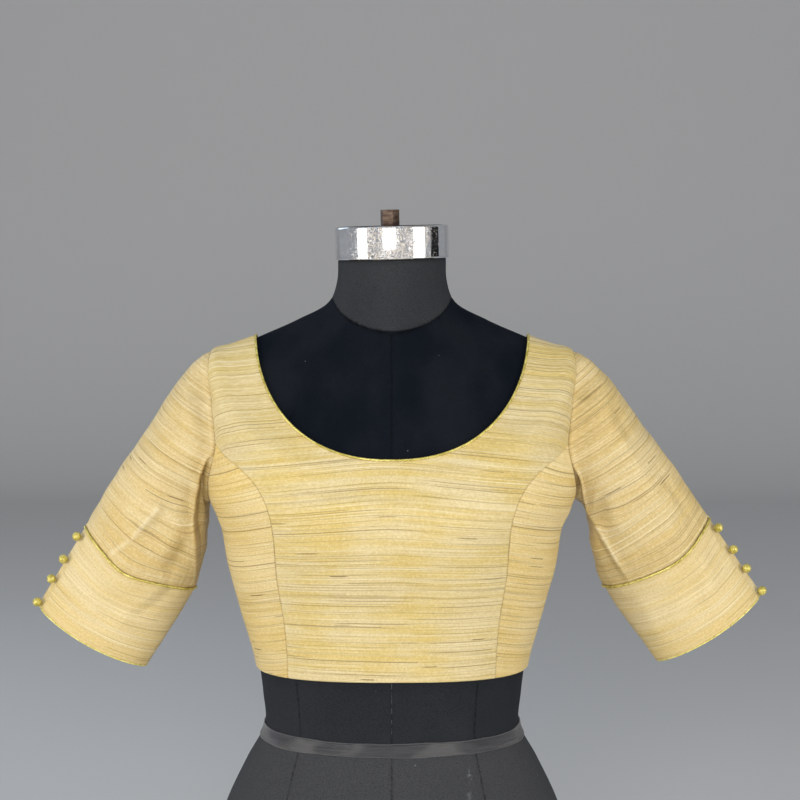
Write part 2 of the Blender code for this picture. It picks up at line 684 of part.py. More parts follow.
SLEEVE_REACHES = (0.0, 0.012, 0.03, 0.055, 0.09, 0.13, 0.18, 0.25, 0.33, 0.42, 0.51, 0.60, 0.70)
SEAM_CLEAR = 0.0010  # half of the cuff seam's gap, as a share of the sleeve's reach


def build_sleeve(side, look):
    root, lower = sleeve_turns()
    reach = np.array(SLEEVE_REACHES)
    reach[-1] = SEAM_REACH - SEAM_CLEAR
    drift = smoothstep(reach / 0.5)[:, None]
    turn = root[None] * (1 - drift) + lower[None] * drift
    points = sleeve_point(turn, reach[:, None], SWING[side])
    points = points[::-1]
    if side == "right":
        points = mirrored(points)
    cloth_wall(f"sleeve_{side}", points[:, ::-1], look, closed=True, offset=0.0)


def cuff_turns():
    """Both ends have points at the same turns, so that they stay clear where they lap."""
    lapped = LAP_BACK_END - 360
    around = ARMHOLE_COUNT + UNDERARM_COUNT + BACK_ARMHOLE_COUNT
    inside = np.linspace(lapped, LAP_ENTRY, around - 2)
    return np.array([LAP_FRONT_END, *inside, 360.0, 360 + LAP_FRONT_END, LAP_BACK_END])


def cuff_point(turn, reach, swing, lift=0.0):
    """The cuff's strip. Past its outer edge the back end goes in, under the front end."""
    inward = (np.asarray(turn, float) - LAP_ENTRY) / (360 + LAP_FRONT_END - LAP_ENTRY)
    under = -LAP_DEPTH * smoothstep(inward)
    return sleeve_ring(turn, reach, swing, under + lift)


def build_cuff(side, look):
    reach = np.linspace(SEAM_REACH + SEAM_CLEAR, 1.0, CUFF_COUNT + 1)[:, None]
    points = cuff_point(cuff_turns()[None], reach, SWING[side])[::-1]
    if side == "right":
        points = mirrored(points)
    cloth_wall(f"cuff_{side}", points[:, ::-1], look, offset=0.0)


def build_cuff_piping(side, look):
    """A covered cord that lies on the cuff's seam, from the lap's front end to its back end."""
    turn = cuff_turns()[:-3]
    lift = CLOTH / 2 + CLEAR + CUFF_PIPING_RADIUS
    path = sleeve_ring(turn, SEAM_REACH, SWING[side], lift)
    if side == "right":
        path = path * (-1, 1, 1)
    name = f"cuff_piping_{side}"
    finish(name, tube_mesh(name, path, CUFF_PIPING_RADIUS, 6), look)


def build_buttons(side, look):
    """Four cloth-covered ball buttons, each on a short tied stem, along the cuff's lap."""
    stem, foot = 0.0016, 0.0
    ball = BUTTON_RADIUS
    centre = ball + 0.0004
    profile = [(stem, foot), (stem * 0.95, centre - ball * math.sin(math.radians(66)))]
    profile += [
        (ball * math.cos(math.radians(a)), centre + ball * math.sin(math.radians(a)))
        for a in (-40, 0, 35, 68)
    ]
    for number, share in enumerate(BUTTON_PLACES, 1):
        reach = SEAM_REACH + (1 - SEAM_REACH) * share
        seat = cuff_point(BUTTON_ANGLE, reach, SWING[side], CLOTH / 2 + CLEAR)
        outside = cuff_point(BUTTON_ANGLE, reach, SWING[side], CLOTH / 2 + CLEAR + 0.002)
        before = cuff_point(BUTTON_ANGLE - 3, reach, SWING[side])
        after = cuff_point(BUTTON_ANGLE + 3, reach, SWING[side])
        down = cuff_point(BUTTON_ANGLE, reach + 0.01, SWING[side])
        facing = unit(np.cross(after - before, down - seat))
        facing = facing * np.sign(np.dot(facing, outside - seat))
        if side == "right":
            seat, facing = seat * (-1, 1, 1), facing * (-1, 1, 1)
        made = turned_solid(f"button_{side}_{number}", profile, 9, look)
        made.location = Vector(seat + facing * 0.0002)
        made.rotation_mode = "QUATERNION"
        made.rotation_quaternion = Vector(facing).to_track_quat("Z", "Y")


def main():
    for old in list(bpy.data.objects):
        bpy.data.objects.remove(old, do_unlink=True)
    silk = material("raw silk", (0.80, 0.66, 0.36), 0.45)
    piping = material("gold piping", (0.62, 0.52, 0.12), 0.40)
    jersey = material("form cover", (0.020, 0.022, 0.028), 0.85)
    satin = material("waist tape", (0.05, 0.05, 0.055), 0.35)
    chrome = material("chrome cap", (0.75, 0.75, 0.76), 0.15, 1.0)
    bronze = material("nut", (0.16, 0.10, 0.07), 0.45, 1.0)

    build_form(jersey)
    build_waist_tape(satin)
    build_cap_and_nut(chrome, bronze)
    build_body(silk)
    build_neck_piping(piping)
    for side in ("left", "right"):
        build_sleeve(side, silk)
        build_cuff(side, silk)
        build_cuff_piping(side, piping)
        build_buttons(side, piping)


main()
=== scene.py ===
"""A pale gold raw-silk choli blouse on a black limbless dress form, finished and lit.

Metres, +Z up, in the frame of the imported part: the front faces -Y and the wearer's left is at +X.
The sections follow the object as it is put together: the form and its fittings, the blouse's body,
its piping, the sleeves, the cuffs and their buttons, then the floor, the lights and the camera.
"""

import math

import bpy
import numpy as np
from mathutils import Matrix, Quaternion, Vector


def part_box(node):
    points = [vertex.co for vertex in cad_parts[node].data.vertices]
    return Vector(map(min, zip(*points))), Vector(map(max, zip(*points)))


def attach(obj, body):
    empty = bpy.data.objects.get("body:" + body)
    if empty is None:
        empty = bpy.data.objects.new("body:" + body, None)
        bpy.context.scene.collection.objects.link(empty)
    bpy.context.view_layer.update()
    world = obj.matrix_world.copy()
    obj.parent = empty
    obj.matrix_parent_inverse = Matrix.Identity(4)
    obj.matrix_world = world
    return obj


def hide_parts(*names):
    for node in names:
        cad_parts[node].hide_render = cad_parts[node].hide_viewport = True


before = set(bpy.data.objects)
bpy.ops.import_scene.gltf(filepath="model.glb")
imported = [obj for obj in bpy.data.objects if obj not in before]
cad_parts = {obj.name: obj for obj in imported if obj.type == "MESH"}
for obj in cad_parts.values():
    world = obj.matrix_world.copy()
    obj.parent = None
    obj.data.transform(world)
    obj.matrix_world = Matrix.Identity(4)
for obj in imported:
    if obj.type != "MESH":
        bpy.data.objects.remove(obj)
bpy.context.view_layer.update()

# The form's torso
# A hollow fibreglass torso in a tight cotton cover: navy black on the chest, charcoal at the neck
# and below. The cover is cut in panels, and their seams show as fine grooves in it.

# level orders the rings; side_z, front_z and back_z are a ring's heights at those places, and
# half_width, front and back its reach. The ease columns are the room between form and blouse, and
# square is the ring's superellipse power, 2 for an ellipse.
TORSO_COLUMNS = (
    "level", "side_z", "front_z", "back_z", "half_width", "front", "back",
    "ease_side", "ease_front", "ease_back", "square",
)
TORSO_ROWS = np.array((
    (0.000, 0.0000, 0.0000, 0.0000, 0.1700, 0.1130, 0.1270, 0.0020, 0.0020, 0.0020, 2.30),
    (0.010, 0.0100, 0.0100, 0.0100, 0.1760, 0.1180, 0.1325, 0.0020, 0.0020, 0.0020, 2.30),
    (0.090, 0.0900, 0.0900, 0.0900, 0.1850, 0.1220, 0.1395, 0.0020, 0.0020, 0.0020, 2.25),
    (0.180, 0.1800, 0.1800, 0.1800, 0.1690, 0.1120, 0.1180, 0.0020, 0.0020, 0.0020, 2.20),
    (0.225, 0.2250, 0.2250, 0.2250, 0.1480, 0.1030, 0.0990, 0.0020, 0.0020, 0.0020, 2.20),
    (0.262, 0.2620, 0.2600, 0.2620, 0.1290, 0.0975, 0.0860, 0.0020, 0.0020, 0.0020, 2.25),
    (0.295, 0.2950, 0.2950, 0.2950, 0.1305, 0.0975, 0.0865, 0.0015, 0.0016, 0.0016, 2.30),
    (0.330, 0.3300, 0.3300, 0.3300, 0.1350, 0.1000, 0.0890, 0.0025, 0.0020, 0.0020, 2.35),
    (0.385, 0.3850, 0.3850, 0.3850, 0.1470, 0.1080, 0.0930, 0.0056, 0.0045, 0.0030, 2.40),
    (0.430, 0.4300, 0.4300, 0.4300, 0.1555, 0.1195, 0.0965, 0.0086, 0.0042, 0.0025, 2.45),
    (0.474, 0.4740, 0.4740, 0.4740, 0.1615, 0.1260, 0.0990, 0.0110, 0.0024, 0.0022, 2.50),
    (0.495, 0.4950, 0.4910, 0.4950, 0.1642, 0.1275, 0.1000, 0.0175, 0.0020, 0.0020, 2.55),
    (0.570, 0.5700, 0.5130, 0.5250, 0.1685, 0.1225, 0.1030, 0.0120, 0.0018, 0.0018, 2.55),
    (0.615, 0.6120, 0.5240, 0.5390, 0.1712, 0.1190, 0.1035, 0.0105, 0.0016, 0.0016, 2.50),
    (0.640, 0.6335, 0.5300, 0.5475, 0.1700, 0.1170, 0.1035, 0.0085, 0.0014, 0.0014, 2.45),
    (0.655, 0.6425, 0.5335, 0.5520, 0.1610, 0.1155, 0.1030, 0.0036, 0.0014, 0.0014, 2.40),
    (0.685, 0.6535, 0.5410, 0.5620, 0.1362, 0.1125, 0.1015, 0.0018, 0.0014, 0.0014, 2.30),
    (0.728, 0.6720, 0.5870, 0.6230, 0.0940, 0.0975, 0.0880, 0.0014, 0.0014, 0.0014, 2.15),
    (0.765, 0.6910, 0.6550, 0.6860, 0.0618, 0.0710, 0.0660, 0.0014, 0.0014, 0.0014, 2.00),
    (0.790, 0.7120, 0.7000, 0.7120, 0.0545, 0.0575, 0.0565, 0.0014, 0.0014, 0.0014, 2.00),
    (0.812, 0.7318, 0.7318, 0.7318, 0.0538, 0.0542, 0.0542, 0.0014, 0.0014, 0.0014, 2.00),
))
RIDGE = 0.20  # rounding of a ring where it crosses the shoulder, as a share of its depth
BUST_X, BUST_Z = 0.088, 0.474
BUST_RISE, BUST_SPREAD, BUST_ABOVE, BUST_BELOW = 0.012, 0.048, 0.046, 0.050
FORM_AROUND, FORM_UP = 224, 180
NECK_SEAM_LEVEL, NECK_SEAM_POINT = 0.7695, 0.0012
COVER_SEAM_WIDTH, COVER_SEAM_DEPTH = 0.0009, 0.00030


def smoothstep(t):
    t = np.clip(t, 0.0, 1.0)
    return t * t * (3 - 2 * t)


def unit(v):
    return v / np.maximum(np.linalg.norm(v, axis=-1, keepdims=True), 1e-12)


def hermite(knots, values, at):
    """A smooth curve through the values, with slopes taken from the neighbours."""
    step = np.diff(knots)
    rise = np.diff(values) / step
    slope = np.empty_like(values)
    slope[1:-1] = (rise[:-1] * step[1:] + rise[1:] * step[:-1]) / (step[1:] + step[:-1])
    slope[0], slope[-1] = rise[0], rise[-1]
    at = np.clip(at, knots[0], knots[-1])
    i = np.clip(np.searchsorted(knots, at, side="right") - 1, 0, len(step) - 1)
    h = step[i]
    t = (at - knots[i]) / h
    return (
        values[i] * (1 + 2 * t) * (1 - t) ** 2
        + values[i + 1] * t * t * (3 - 2 * t)
        + h * slope[i] * t * (1 - t) ** 2
        - h * slope[i + 1] * t * t * (1 - t)
    )


def torso(name, level):
    return hermite(TORSO_ROWS[:, 0], TORSO_ROWS[:, TORSO_COLUMNS.index(name)], level)


def fullness(x, z, bridged):
    """How far the bust stands forward. Cloth bridges from one side to the other."""
    aside = np.abs(x) - BUST_X
    if bridged:
        aside = np.maximum(aside, 0.0)
    away = z - BUST_Z
    tall = np.where(away > 0, BUST_ABOVE, BUST_BELOW)
    return BUST_RISE * np.exp(-((aside / BUST_SPREAD) ** 2) - (away / tall) ** 2)


def form_point(angle, level, bridged=False):
    """The form's surface. angle is 0 at the wearer's left side and -90 degrees at the front."""
    angle, level = np.broadcast_arrays(np.asarray(angle, float), np.asarray(level, float))
    ahead = np.sin(angle) < 0
    depth = np.where(ahead, torso("front", level), torso("back", level))
    end_z = np.where(ahead, torso("front_z", level), torso("back_z", level))
    width, side_z, power = (torso(n, level) for n in ("half_width", "side_z", "square"))
    radius = (
        np.abs(np.cos(angle) / width) ** power + np.abs(np.sin(angle) / depth) ** power
    ) ** (-1 / power)
    x, y = radius * np.cos(angle), radius * np.sin(angle)
    share = (np.hypot(np.abs(y) / depth, RIDGE) - RIDGE) / (math.hypot(1, RIDGE) - RIDGE)
    z = side_z + (end_z - side_z) * share
    y = y - np.where(ahead, fullness(x, z, bridged) * share, 0.0)
    return np.stack([x, y, z], axis=-1)


def torso_normal(angle, level, bridged=False):
    small = 1e-4
    around = form_point(angle + small, level, bridged) - form_point(angle - small, level, bridged)
    up = form_point(angle, level + small, bridged) - form_point(angle, level - small, bridged)
    return unit(np.cross(around, up))


def pick(piece):
    """Selects one object alone and makes it the active one."""
    bpy.ops.object.select_all(action="DESELECT")
    piece.select_set(True)
    bpy.context.view_layer.objects.active = piece


def quad_mesh(name, points, closed=False):
    """A mesh on rows of points. Its faces look along (along a row) x (up the rows)."""
    rows, across = points.shape[:2]
    index = np.arange(rows * across).reshape(rows, across)
    if closed:
        index = np.concatenate([index, index[:, :1]], axis=1)
    corners = np.stack([index[:-1, :-1], index[:-1, 1:], index[1:, 1:], index[1:, :-1]], axis=-1)
    mesh = bpy.data.meshes.new(name)
    mesh.from_pydata(points.reshape(-1, 3).tolist(), [], corners.reshape(-1, 4).tolist())
    mesh.update()
    return mesh


def closed_up(piece):
    """Welds the seam of a form wound up from rows of points and fills its open ends."""
    pick(piece)
    bpy.ops.object.mode_set(mode="EDIT")
    bpy.ops.mesh.select_all(action="SELECT")
    bpy.ops.mesh.remove_doubles(threshold=1e-6)
    bpy.ops.mesh.select_all(action="DESELECT")
    bpy.ops.mesh.select_mode(type="EDGE")
    bpy.ops.mesh.select_non_manifold(extend=False)
    bpy.ops.mesh.fill_holes(sides=0)
    bpy.ops.mesh.select_all(action="SELECT")
    bpy.ops.mesh.normals_make_consistent(inside=False)
    bpy.ops.object.mode_set(mode="OBJECT")
    return piece


def shown(name, mesh, look):
    mesh.materials.append(look)
    mesh.shade_smooth()
    piece = bpy.data.objects.new(name, mesh)
    bpy.context.scene.collection.objects.link(piece)
    return piece


def stands_for(piece, node):
    """The piece rides on the part's one body and is shown in the place of that CAD node."""
    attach(piece, "root")
    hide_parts(node)


def blank_material(name, roughness):
    look = bpy.data.materials.new(name)
    look.use_nodes = True
    shader = look.node_tree.nodes["Principled BSDF"]
    shader.inputs["Roughness"].default_value = roughness
    return look, look.node_tree, shader


def fill(tree, made, inputs):
    """Gives a node's sockets their values, or the sockets that feed them."""
    for socket, value in inputs.items():
        if isinstance(value, bpy.types.NodeSocket):
            tree.links.new(value, made.inputs[socket])
        else:
            made.inputs[socket].default_value = value


def node(tree, kind, inputs=None, **settings):
    made = tree.nodes.new("ShaderNode" + kind)
    for name, value in settings.items():
        setattr(made, name, value)
    fill(tree, made, inputs or {})
    return made


def own_place(tree):
    return node(tree, "TexCoord").outputs["Object"]


def painted(tree, name):
    """What is written into the mesh at each point under that name, or 0 where nothing is."""
    return node(tree, "Attribute", attribute_name=name).outputs["Fac"]


def maths(tree, operation, *values):
    return node(tree, "Math", dict(enumerate(values)), operation=operation).outputs[0]


def times(tree, value, share):
    return maths(tree, "MULTIPLY", value, share)


def fitted(tree, value, share, start):
    """The value times share, added to start."""
    return maths(tree, "MULTIPLY_ADD", value, share, start)


def noise(tree, place, scale, detail=2.0, shift=0.0):
    """Noise whose grain is stretched: scale is how many of its waves go into a metre each way."""
    moved = node(tree, "Mapping", {
        "Vector": place, "Location": (shift, shift * 0.7, shift * 0.4), "Scale": scale,
    }).outputs[0]
    return node(tree, "TexNoise", {"Vector": moved, "Scale": 1.0, "Detail": detail}).outputs["Fac"]


def between(tree, value, low, high):
    """0 where value is under low, 1 where it is over high, and smooth in between."""
    return node(tree, "MapRange", {
        "Value": value, "From Min": low, "From Max": high,
    }, interpolation_type="SMOOTHSTEP").outputs[0]


def mixed(tree, share, first, second):
    """A colour that goes from first to second. Each is a colour's three numbers or a socket."""
    first, second = ((*one, 1) if isinstance(one, tuple) else one for one in (first, second))
    return node(tree, "Mix", {"Factor": share, 6: first, 7: second}, data_type="RGBA").outputs[2]


def stained(tree, tone, colour, value, low, high, share):
    """The tone with a share of the colour laid on it where value goes from low to high."""
    return mixed(tree, times(tree, between(tree, value, low, high), share), tone, colour)


def bump(tree, shader, height, depth):
    made = node(tree, "Bump", {"Height": height, "Strength": 1.0, "Distance": depth})
    tree.links.new(made.outputs[0], shader.inputs["Normal"])


def cover_material():
    navy, grey, lint = (0.0019, 0.0042, 0.0084), (0.050, 0.052, 0.056), (0.22, 0.23, 0.25)
    hollow, thread = (0.002, 0.002, 0.003), (0.0018, 0.0018, 0.0022)
    look, tree, shader = blank_material("form cover", 0.72)
    place = own_place(tree)
    greyness, seam, scuff = (painted(tree, name) for name in ("greyness", "seam", "scuff"))
    worn = between(tree, noise(tree, place, (16, 16, 9), 4), 0.40, 0.68)
    fluff = noise(tree, place, (1100, 1100, 1100), 2)
    stitches = between(tree, noise(tree, place, (260, 260, 260), 1), 0.42, 0.60)
    # greyness takes the cover from navy to grey; part of it is painted light: lighter hips and a shaded band
    # under the hem
    cloth = mixed(tree, fitted(tree, worn, 0.10, greyness), navy, grey)
    cloth = stained(tree, cloth, lint, fluff, 0.52, 0.75, fitted(tree, greyness, 0.09, 0.006))
    # The cover's fine hollows, where the fluff lies lowest in the bump, are darkened: painted shade.
    cloth = stained(tree, cloth, hollow, fluff, 0.48, 0.28, 0.45)
    cloth = mixed(tree, times(tree, seam, fitted(tree, stitches, 0.40, 0.35)), cloth, thread)
    cloth = mixed(tree, times(tree, scuff, times(tree, stitches, 0.55)), cloth, lint)
    specks = node(tree, "TexVoronoi", {"Vector": place, "Scale": 130.0})
    near = between(tree, specks.outputs["Distance"], 0.075, 0.045)
    rare = between(tree, node(tree, "SeparateColor", {0: specks.outputs["Color"]}).outputs[0], 0.955, 0.975)
    fill(tree, shader, {
        "Base Color": mixed(tree, times(tree, near, rare), cloth, lint), "Specular IOR Level": 0.03,
        "Sheen Weight": 0.009, "Sheen Roughness": 0.40, "Sheen Tint": (0.30, 0.55, 1.0, 1),
    })
    ribs = node(tree, "TexWave", {"Vector": place, "Scale": 420.0, "Distortion": 1.5}, bands_direction="Z")
    bump(tree, shader, maths(tree, "ADD", ribs.outputs["Fac"], fluff), 0.00012)
    return look


def refined(values, places, width, count=7):
    """The values with a few more put in close round each place, for the cover's seams."""
    extra = [place + width * np.linspace(-1.6, 1.6, count) for place in places]
    return np.unique(np.concatenate([values, *extra]))


def cover_seams(angle, level, points):
    """How near each point is to a seam of the cover, from 0 to 1."""
    neck_level = NECK_SEAM_LEVEL - NECK_SEAM_POINT * np.exp(-((points[..., 0] / 0.012) ** 2))
    around_neck = np.exp(-(((level - neck_level) / (1.3 * COVER_SEAM_WIDTH)) ** 2))
    torso_only = smoothstep((NECK_SEAM_LEVEL - level) / 0.002)
    girth = np.hypot(points[..., 0], points[..., 1])
    turned = [np.abs(np.angle(np.exp(1j * (angle - at)))) * girth for at in COVER_SEAM_ANGLES]
    to_shoulder = smoothstep((SHOULDER_SEAM_LEVEL - level) / 0.02)
    upright = sum(
        np.exp(-((off / COVER_SEAM_WIDTH) ** 2)) * (torso_only if number in CENTRE_SEAMS else to_shoulder)
        for number, off in enumerate(turned))
    return np.clip(around_neck + 0.8 * upright, 0, 1)


def scuffs(points, rows):
    """Chalky scuffed lines on the cover: each row is a place across and its heights."""
    total = np.zeros(points.shape[:2])
    for x, low, high, width in rows:
        inside = smoothstep((points[..., 2] - low) / 0.004) * smoothstep((high - points[..., 2]) / 0.004)
        total += inside * np.exp(-(((points[..., 0] - x) / width) ** 2)) * (points[..., 1] < 0)
    return np.clip(total, 0, 1)


def add_attribute(mesh, name, values):
    layer = mesh.attributes.new(name, "FLOAT", "POINT")
    layer.data.foreach_set("value", np.asarray(values, np.float32).ravel())


# Seams that run up the cover: centres, then sides and princess lines, which end at the shoulders
COVER_SEAM_ANGLES = np.radians((-90, 90, 0, 180, -44.7, -140.4, 48, 132))
CENTRE_SEAMS, SHOULDER_SEAM_LEVEL = (0, 1), 0.705
NECK_TOP_SLOPE = 0.024
# x, low and high z, width
SCUFFS = ((-0.007, 0.205, 0.235, 0.0006), (0.076, 0.207, 0.238, 0.0007), (0.0, 0.27, 0.33, 0.0002))
# Greyness down the form: navy on the chest, charcoal at the neck, a darker grey on the band between the hem
# and the ribbon and a light grey on the hips. The step at the ribbon is partly the cover's own tone and
# partly painted light: painted shade on the band under the blouse's hem, and painted light on the hips, which
# face up to the light.
COVER_GREY = (
    (0.0, 1.0), (0.2585, 0.98), (0.2586, 0.40), (0.31, 0.36), (0.38, 0.0),
    (NECK_SEAM_LEVEL, 0.05), (NECK_SEAM_LEVEL + 0.0008, 0.60), (0.812, 0.60),
)
angles = refined(
    np.linspace(-math.pi, math.pi, FORM_AROUND, endpoint=False),
    [a for a in COVER_SEAM_ANGLES if a < math.pi - 0.02], COVER_SEAM_WIDTH / 0.13,
)
levels = refined(np.linspace(0, 0.812, FORM_UP), (NECK_SEAM_LEVEL,), 2 * COVER_SEAM_WIDTH)
levels = np.unique(np.concatenate([levels, (0.0015, 0.005, 0.011, 0.2583, 0.2588)]))
angle, level = np.meshgrid(angles, levels)
on_form = form_point(angle, level)
seam = cover_seams(angle, level, on_form)
scuffed = scuffs(on_form, SCUFFS)
greyness = np.interp(level, *zip(*COVER_GREY))
on_form -= (COVER_SEAM_DEPTH * seam)[..., None] * torso_normal(angle, level)
# the neck's top edge follows the cap, which sits a little higher at the wearer's left
on_form[..., 2] += NECK_TOP_SLOPE * on_form[..., 0] * smoothstep((level - 0.792) / 0.020)
form = shown("form_torso", quad_mesh("form_torso", on_form, closed=True), cover_material())
add_attribute(form.data, "seam", seam)
add_attribute(form.data, "scuff", scuffed)
add_attribute(form.data, "greyness", greyness)
stands_for(closed_up(form), "form_body")

# The waist ribbon
# A satin ribbon 14 mm wide, tied flat round the form's waist. Its edges are woven thicker, and it
# has slack enough to ripple a little.
TAPE_LEVELS = (0.2515, 0.2655)
TAPE_STAND_OFF, TAPE_THICK = 0.0004, 0.0009
TAPE_RIPPLES = ((5, 0.4, 0.00035), (11, 1.9, 0.00025), (23, 4.4, 0.00012))  # waves, phase, height


def satin_tape():
    look, tree, shader = blank_material("satin tape", 0.30)
    place = own_place(tree)
    streaks = noise(tree, place, (30, 30, 1300), 3)
    painted_highlight = noise(tree, place, (19, 19, 30), 2, 5.3)
    edge = between(tree, maths(tree, "ABSOLUTE", painted(tree, "across")), 0.86, 0.93)
    tone = mixed(tree, between(tree, streaks, 0.30, 0.70), (0.008, 0.008, 0.011), (0.033, 0.033, 0.041))
    # Lighter grey patches along the ribbon: painted sheen.
    tone = stained(tree, tone, (0.105, 0.105, 0.102), painted_highlight, 0.46, 0.60, 0.42)
    fill(tree, shader, {
        "Base Color": mixed(tree, times(tree, edge, 0.55), tone, (0.10, 0.10, 0.11)),
        "Roughness": fitted(tree, streaks, 0.25, 0.20), "Sheen Weight": 0.15, "Anisotropic": 0.6,
    })
    cord = node(tree, "TexWave", {"Vector": place, "Scale": 620.0}, bands_direction="DIAGONAL")
    height = fitted(tree, streaks, 3.0, cord.outputs["Fac"])
    bump(tree, shader, fitted(tree, edge, 2.0, height), 0.00012)
    return look


across = np.array((-1.0, -0.97, -0.9, -0.82, -0.78, -0.5, -0.2, 0.2, 0.5, 0.78, 0.82, 0.9, 0.97, 1.0))
angle, share = np.meshgrid(np.linspace(-math.pi, math.pi, 360, endpoint=False), across)
level = np.mean(TAPE_LEVELS) + share * (TAPE_LEVELS[1] - TAPE_LEVELS[0]) / 2
ripple = sum(height * np.sin(waves * angle + phase + share) for waves, phase, height in TAPE_RIPPLES)
level = level + ripple
stand = TAPE_STAND_OFF + TAPE_THICK * np.where(np.abs(share) > 0.999, 0.2, 1.0)
stand = stand + 0.00018 * (np.abs(share) > 0.8) + np.maximum(ripple, 0) * 0.4
outside = form_point(angle, level) + stand[..., None] * torso_normal(angle, level)
inside = form_point(angle, level) + TAPE_STAND_OFF * torso_normal(angle, level)
tape = shown("waist_ribbon", quad_mesh(
    "waist_ribbon", np.concatenate([outside, inside[::-1], outside[:1]]), closed=True), satin_tape())
add_attribute(tape.data, "across", np.concatenate([share, share[::-1], share[:1]]))
stands_for(closed_up(tape), "waist_tape")

# The neck cap and its nut
# A turned cap of chromed steel that closes the neck, a little askew, with rust and pits coming
# through in specks, and the dark hexagonal nut of the form's pole on top of it.
CAP_LOW, CAP_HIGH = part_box("neck_cap")
NUT_LOW, NUT_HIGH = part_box("pole_nut")
CAP_TILT = -1.4  # degrees: the cap sits higher at the wearer's left
CAP_FOOT, CAP_TOP = 0.7325, 0.7652


def chrome_material():
    look, tree, shader = blank_material("rusted chrome", 0.06)
    place = own_place(tree)
    clouds = between(tree, noise(tree, place, (26, 26, 10), 2, 2.6), 0.42, 0.66)
    fine = noise(tree, place, (760, 760, 760), 2)
    pits = between(tree, noise(tree, place, (420, 420, 420), 2, 8.1), 0.66, 0.72)
    specks = between(tree, fitted(tree, clouds, 0.17, fine), 0.66, 0.74)
    rust = noise(tree, place, (240, 240, 240), 2, 4.2)
    tarnish = mixed(tree, rust, (0.07, 0.030, 0.018), (0.52, 0.40, 0.22))
    share = maths(tree, "MINIMUM", fitted(tree, specks, 0.75, pits), 0.9)
    fill(tree, shader, {
        "Base Color": mixed(tree, share, (0.86, 0.87, 0.90), tarnish),
        "Metallic": fitted(tree, share, -0.7, 1.0), "Roughness": fitted(tree, share, 0.5, 0.05),
    })
    bump(tree, shader, fitted(tree, share, -1.0, times(tree, clouds, 0.4)), 0.00012)
    return look


def bronze_material():
    look, tree, shader = blank_material("dark bronze", 0.42)
    place = own_place(tree)
    grain = noise(tree, place, (420, 420, 420), 4)
    wear = between(tree, noise(tree, place, (90, 90, 260), 3), 0.35, 0.7)
    fill(tree, shader, {
        "Base Color": mixed(tree, wear, (0.055, 0.034, 0.025), (0.17, 0.115, 0.085)),
        "Metallic": 0.75, "Roughness": fitted(tree, grain, 0.4, 0.25),
    })
    bump(tree, shader, grain, 0.0002)
    return look


def select_level(piece, low, high):
    """In edit mode, selects the faces whose middle lies between two heights."""
    bpy.ops.mesh.select_mode(type="FACE")
    bpy.ops.mesh.select_all(action="DESELECT")
    bpy.ops.object.mode_set(mode="OBJECT")
    for face in piece.data.polygons:
        face.select = low < face.center.z < high
    bpy.ops.object.mode_set(mode="EDIT")


def finished(piece, smooth_angle=35):
    """Puts the place and turn into the mesh, so that the object sits at the origin."""
    bpy.ops.object.mode_set(mode="OBJECT")
    bpy.ops.object.transform_apply(location=True, rotation=True, scale=True)
    bpy.ops.object.shade_smooth_by_angle(angle=math.radians(smooth_angle))


CAP_RADIUS, CAP_RIM, CAP_LIP = (CAP_HIGH.x - CAP_LOW.x) / 2, 0.0020, 0.0006
CAP_MIDDLE = (CAP_FOOT + CAP_TOP) / 2
bpy.ops.mesh.primitive_cylinder_add(
    vertices=192, radius=CAP_RADIUS, depth=CAP_TOP - CAP_FOOT, location=(0, 0, CAP_MIDDLE))
cap = bpy.context.object
cap.name = "neck_cap_chrome"
bpy.ops.object.mode_set(mode="EDIT")
bpy.ops.mesh.select_mode(type="EDGE")
bpy.ops.mesh.select_all(action="DESELECT")
bpy.ops.object.mode_set(mode="OBJECT")
for edge in cap.data.edges:
    ends = [cap.data.vertices[v].co for v in edge.vertices]
    edge.select = ends[0].z * ends[1].z > 0
bpy.ops.object.mode_set(mode="EDIT")
bpy.ops.mesh.bevel(offset=CAP_RIM, segments=6, affect="EDGES")
select_level(cap, CAP_TOP - CAP_MIDDLE - 0.0001, 1)
bpy.ops.mesh.inset(thickness=0.004)
bpy.ops.transform.translate(value=(0, 0, -CAP_LIP))
bpy.ops.object.mode_set(mode="OBJECT")
cap.rotation_euler.y = math.radians(CAP_TILT)
finished(cap)
cap.data.materials.append(chrome_material())
stands_for(cap, "neck_cap")

NUT_RADIUS, NUT_CHAMFER = (NUT_HIGH.x - NUT_LOW.x) / 2, 0.0011
NUT_TOP, NUT_TURN = NUT_HIGH.z + 0.0004, 15.0
bpy.ops.mesh.primitive_cylinder_add(
    vertices=6, radius=NUT_RADIUS, depth=NUT_TOP - CAP_TOP + CAP_LIP,
    location=(-0.002, 0, (NUT_TOP + CAP_TOP - CAP_LIP) / 2),
)
nut = bpy.context.object
nut.name = "pole_nut_bronze"
bpy.ops.object.mode_set(mode="EDIT")
bpy.ops.mesh.select_all(action="SELECT")
bpy.ops.mesh.bevel(offset=NUT_CHAMFER * 0.35, segments=2, affect="EDGES")
select_level(nut, (NUT_TOP - CAP_TOP + CAP_LIP) / 2 - 0.00001, 1)
bpy.ops.mesh.inset(thickness=NUT_CHAMFER)
bpy.ops.transform.translate(value=(0, 0, -0.0003))
bpy.ops.mesh.inset(thickness=0.0022)
bpy.ops.transform.translate(value=(0, 0, -0.0018))
bpy.ops.object.mode_set(mode="OBJECT")
nut.rotation_euler = (0, math.radians(CAP_TILT), math.radians(NUT_TURN))
finished(nut, 25)
nut.data.materials.append(bronze_material())
stands_for(nut, "pole_nut")

# The silk
# Hand-woven raw silk (dupion): a plain weave of even warp and uneven weft, whose slubs show as
# brown and cream lines across. Each piece carries its flat cut as the UV map "weave", in metres,
# with the weft along U and the warp along V.
SILK_THICK = 0.0010  # silk, interlining and lining together
WEAVE_PITCH = 0.00045  # from one thread to the next
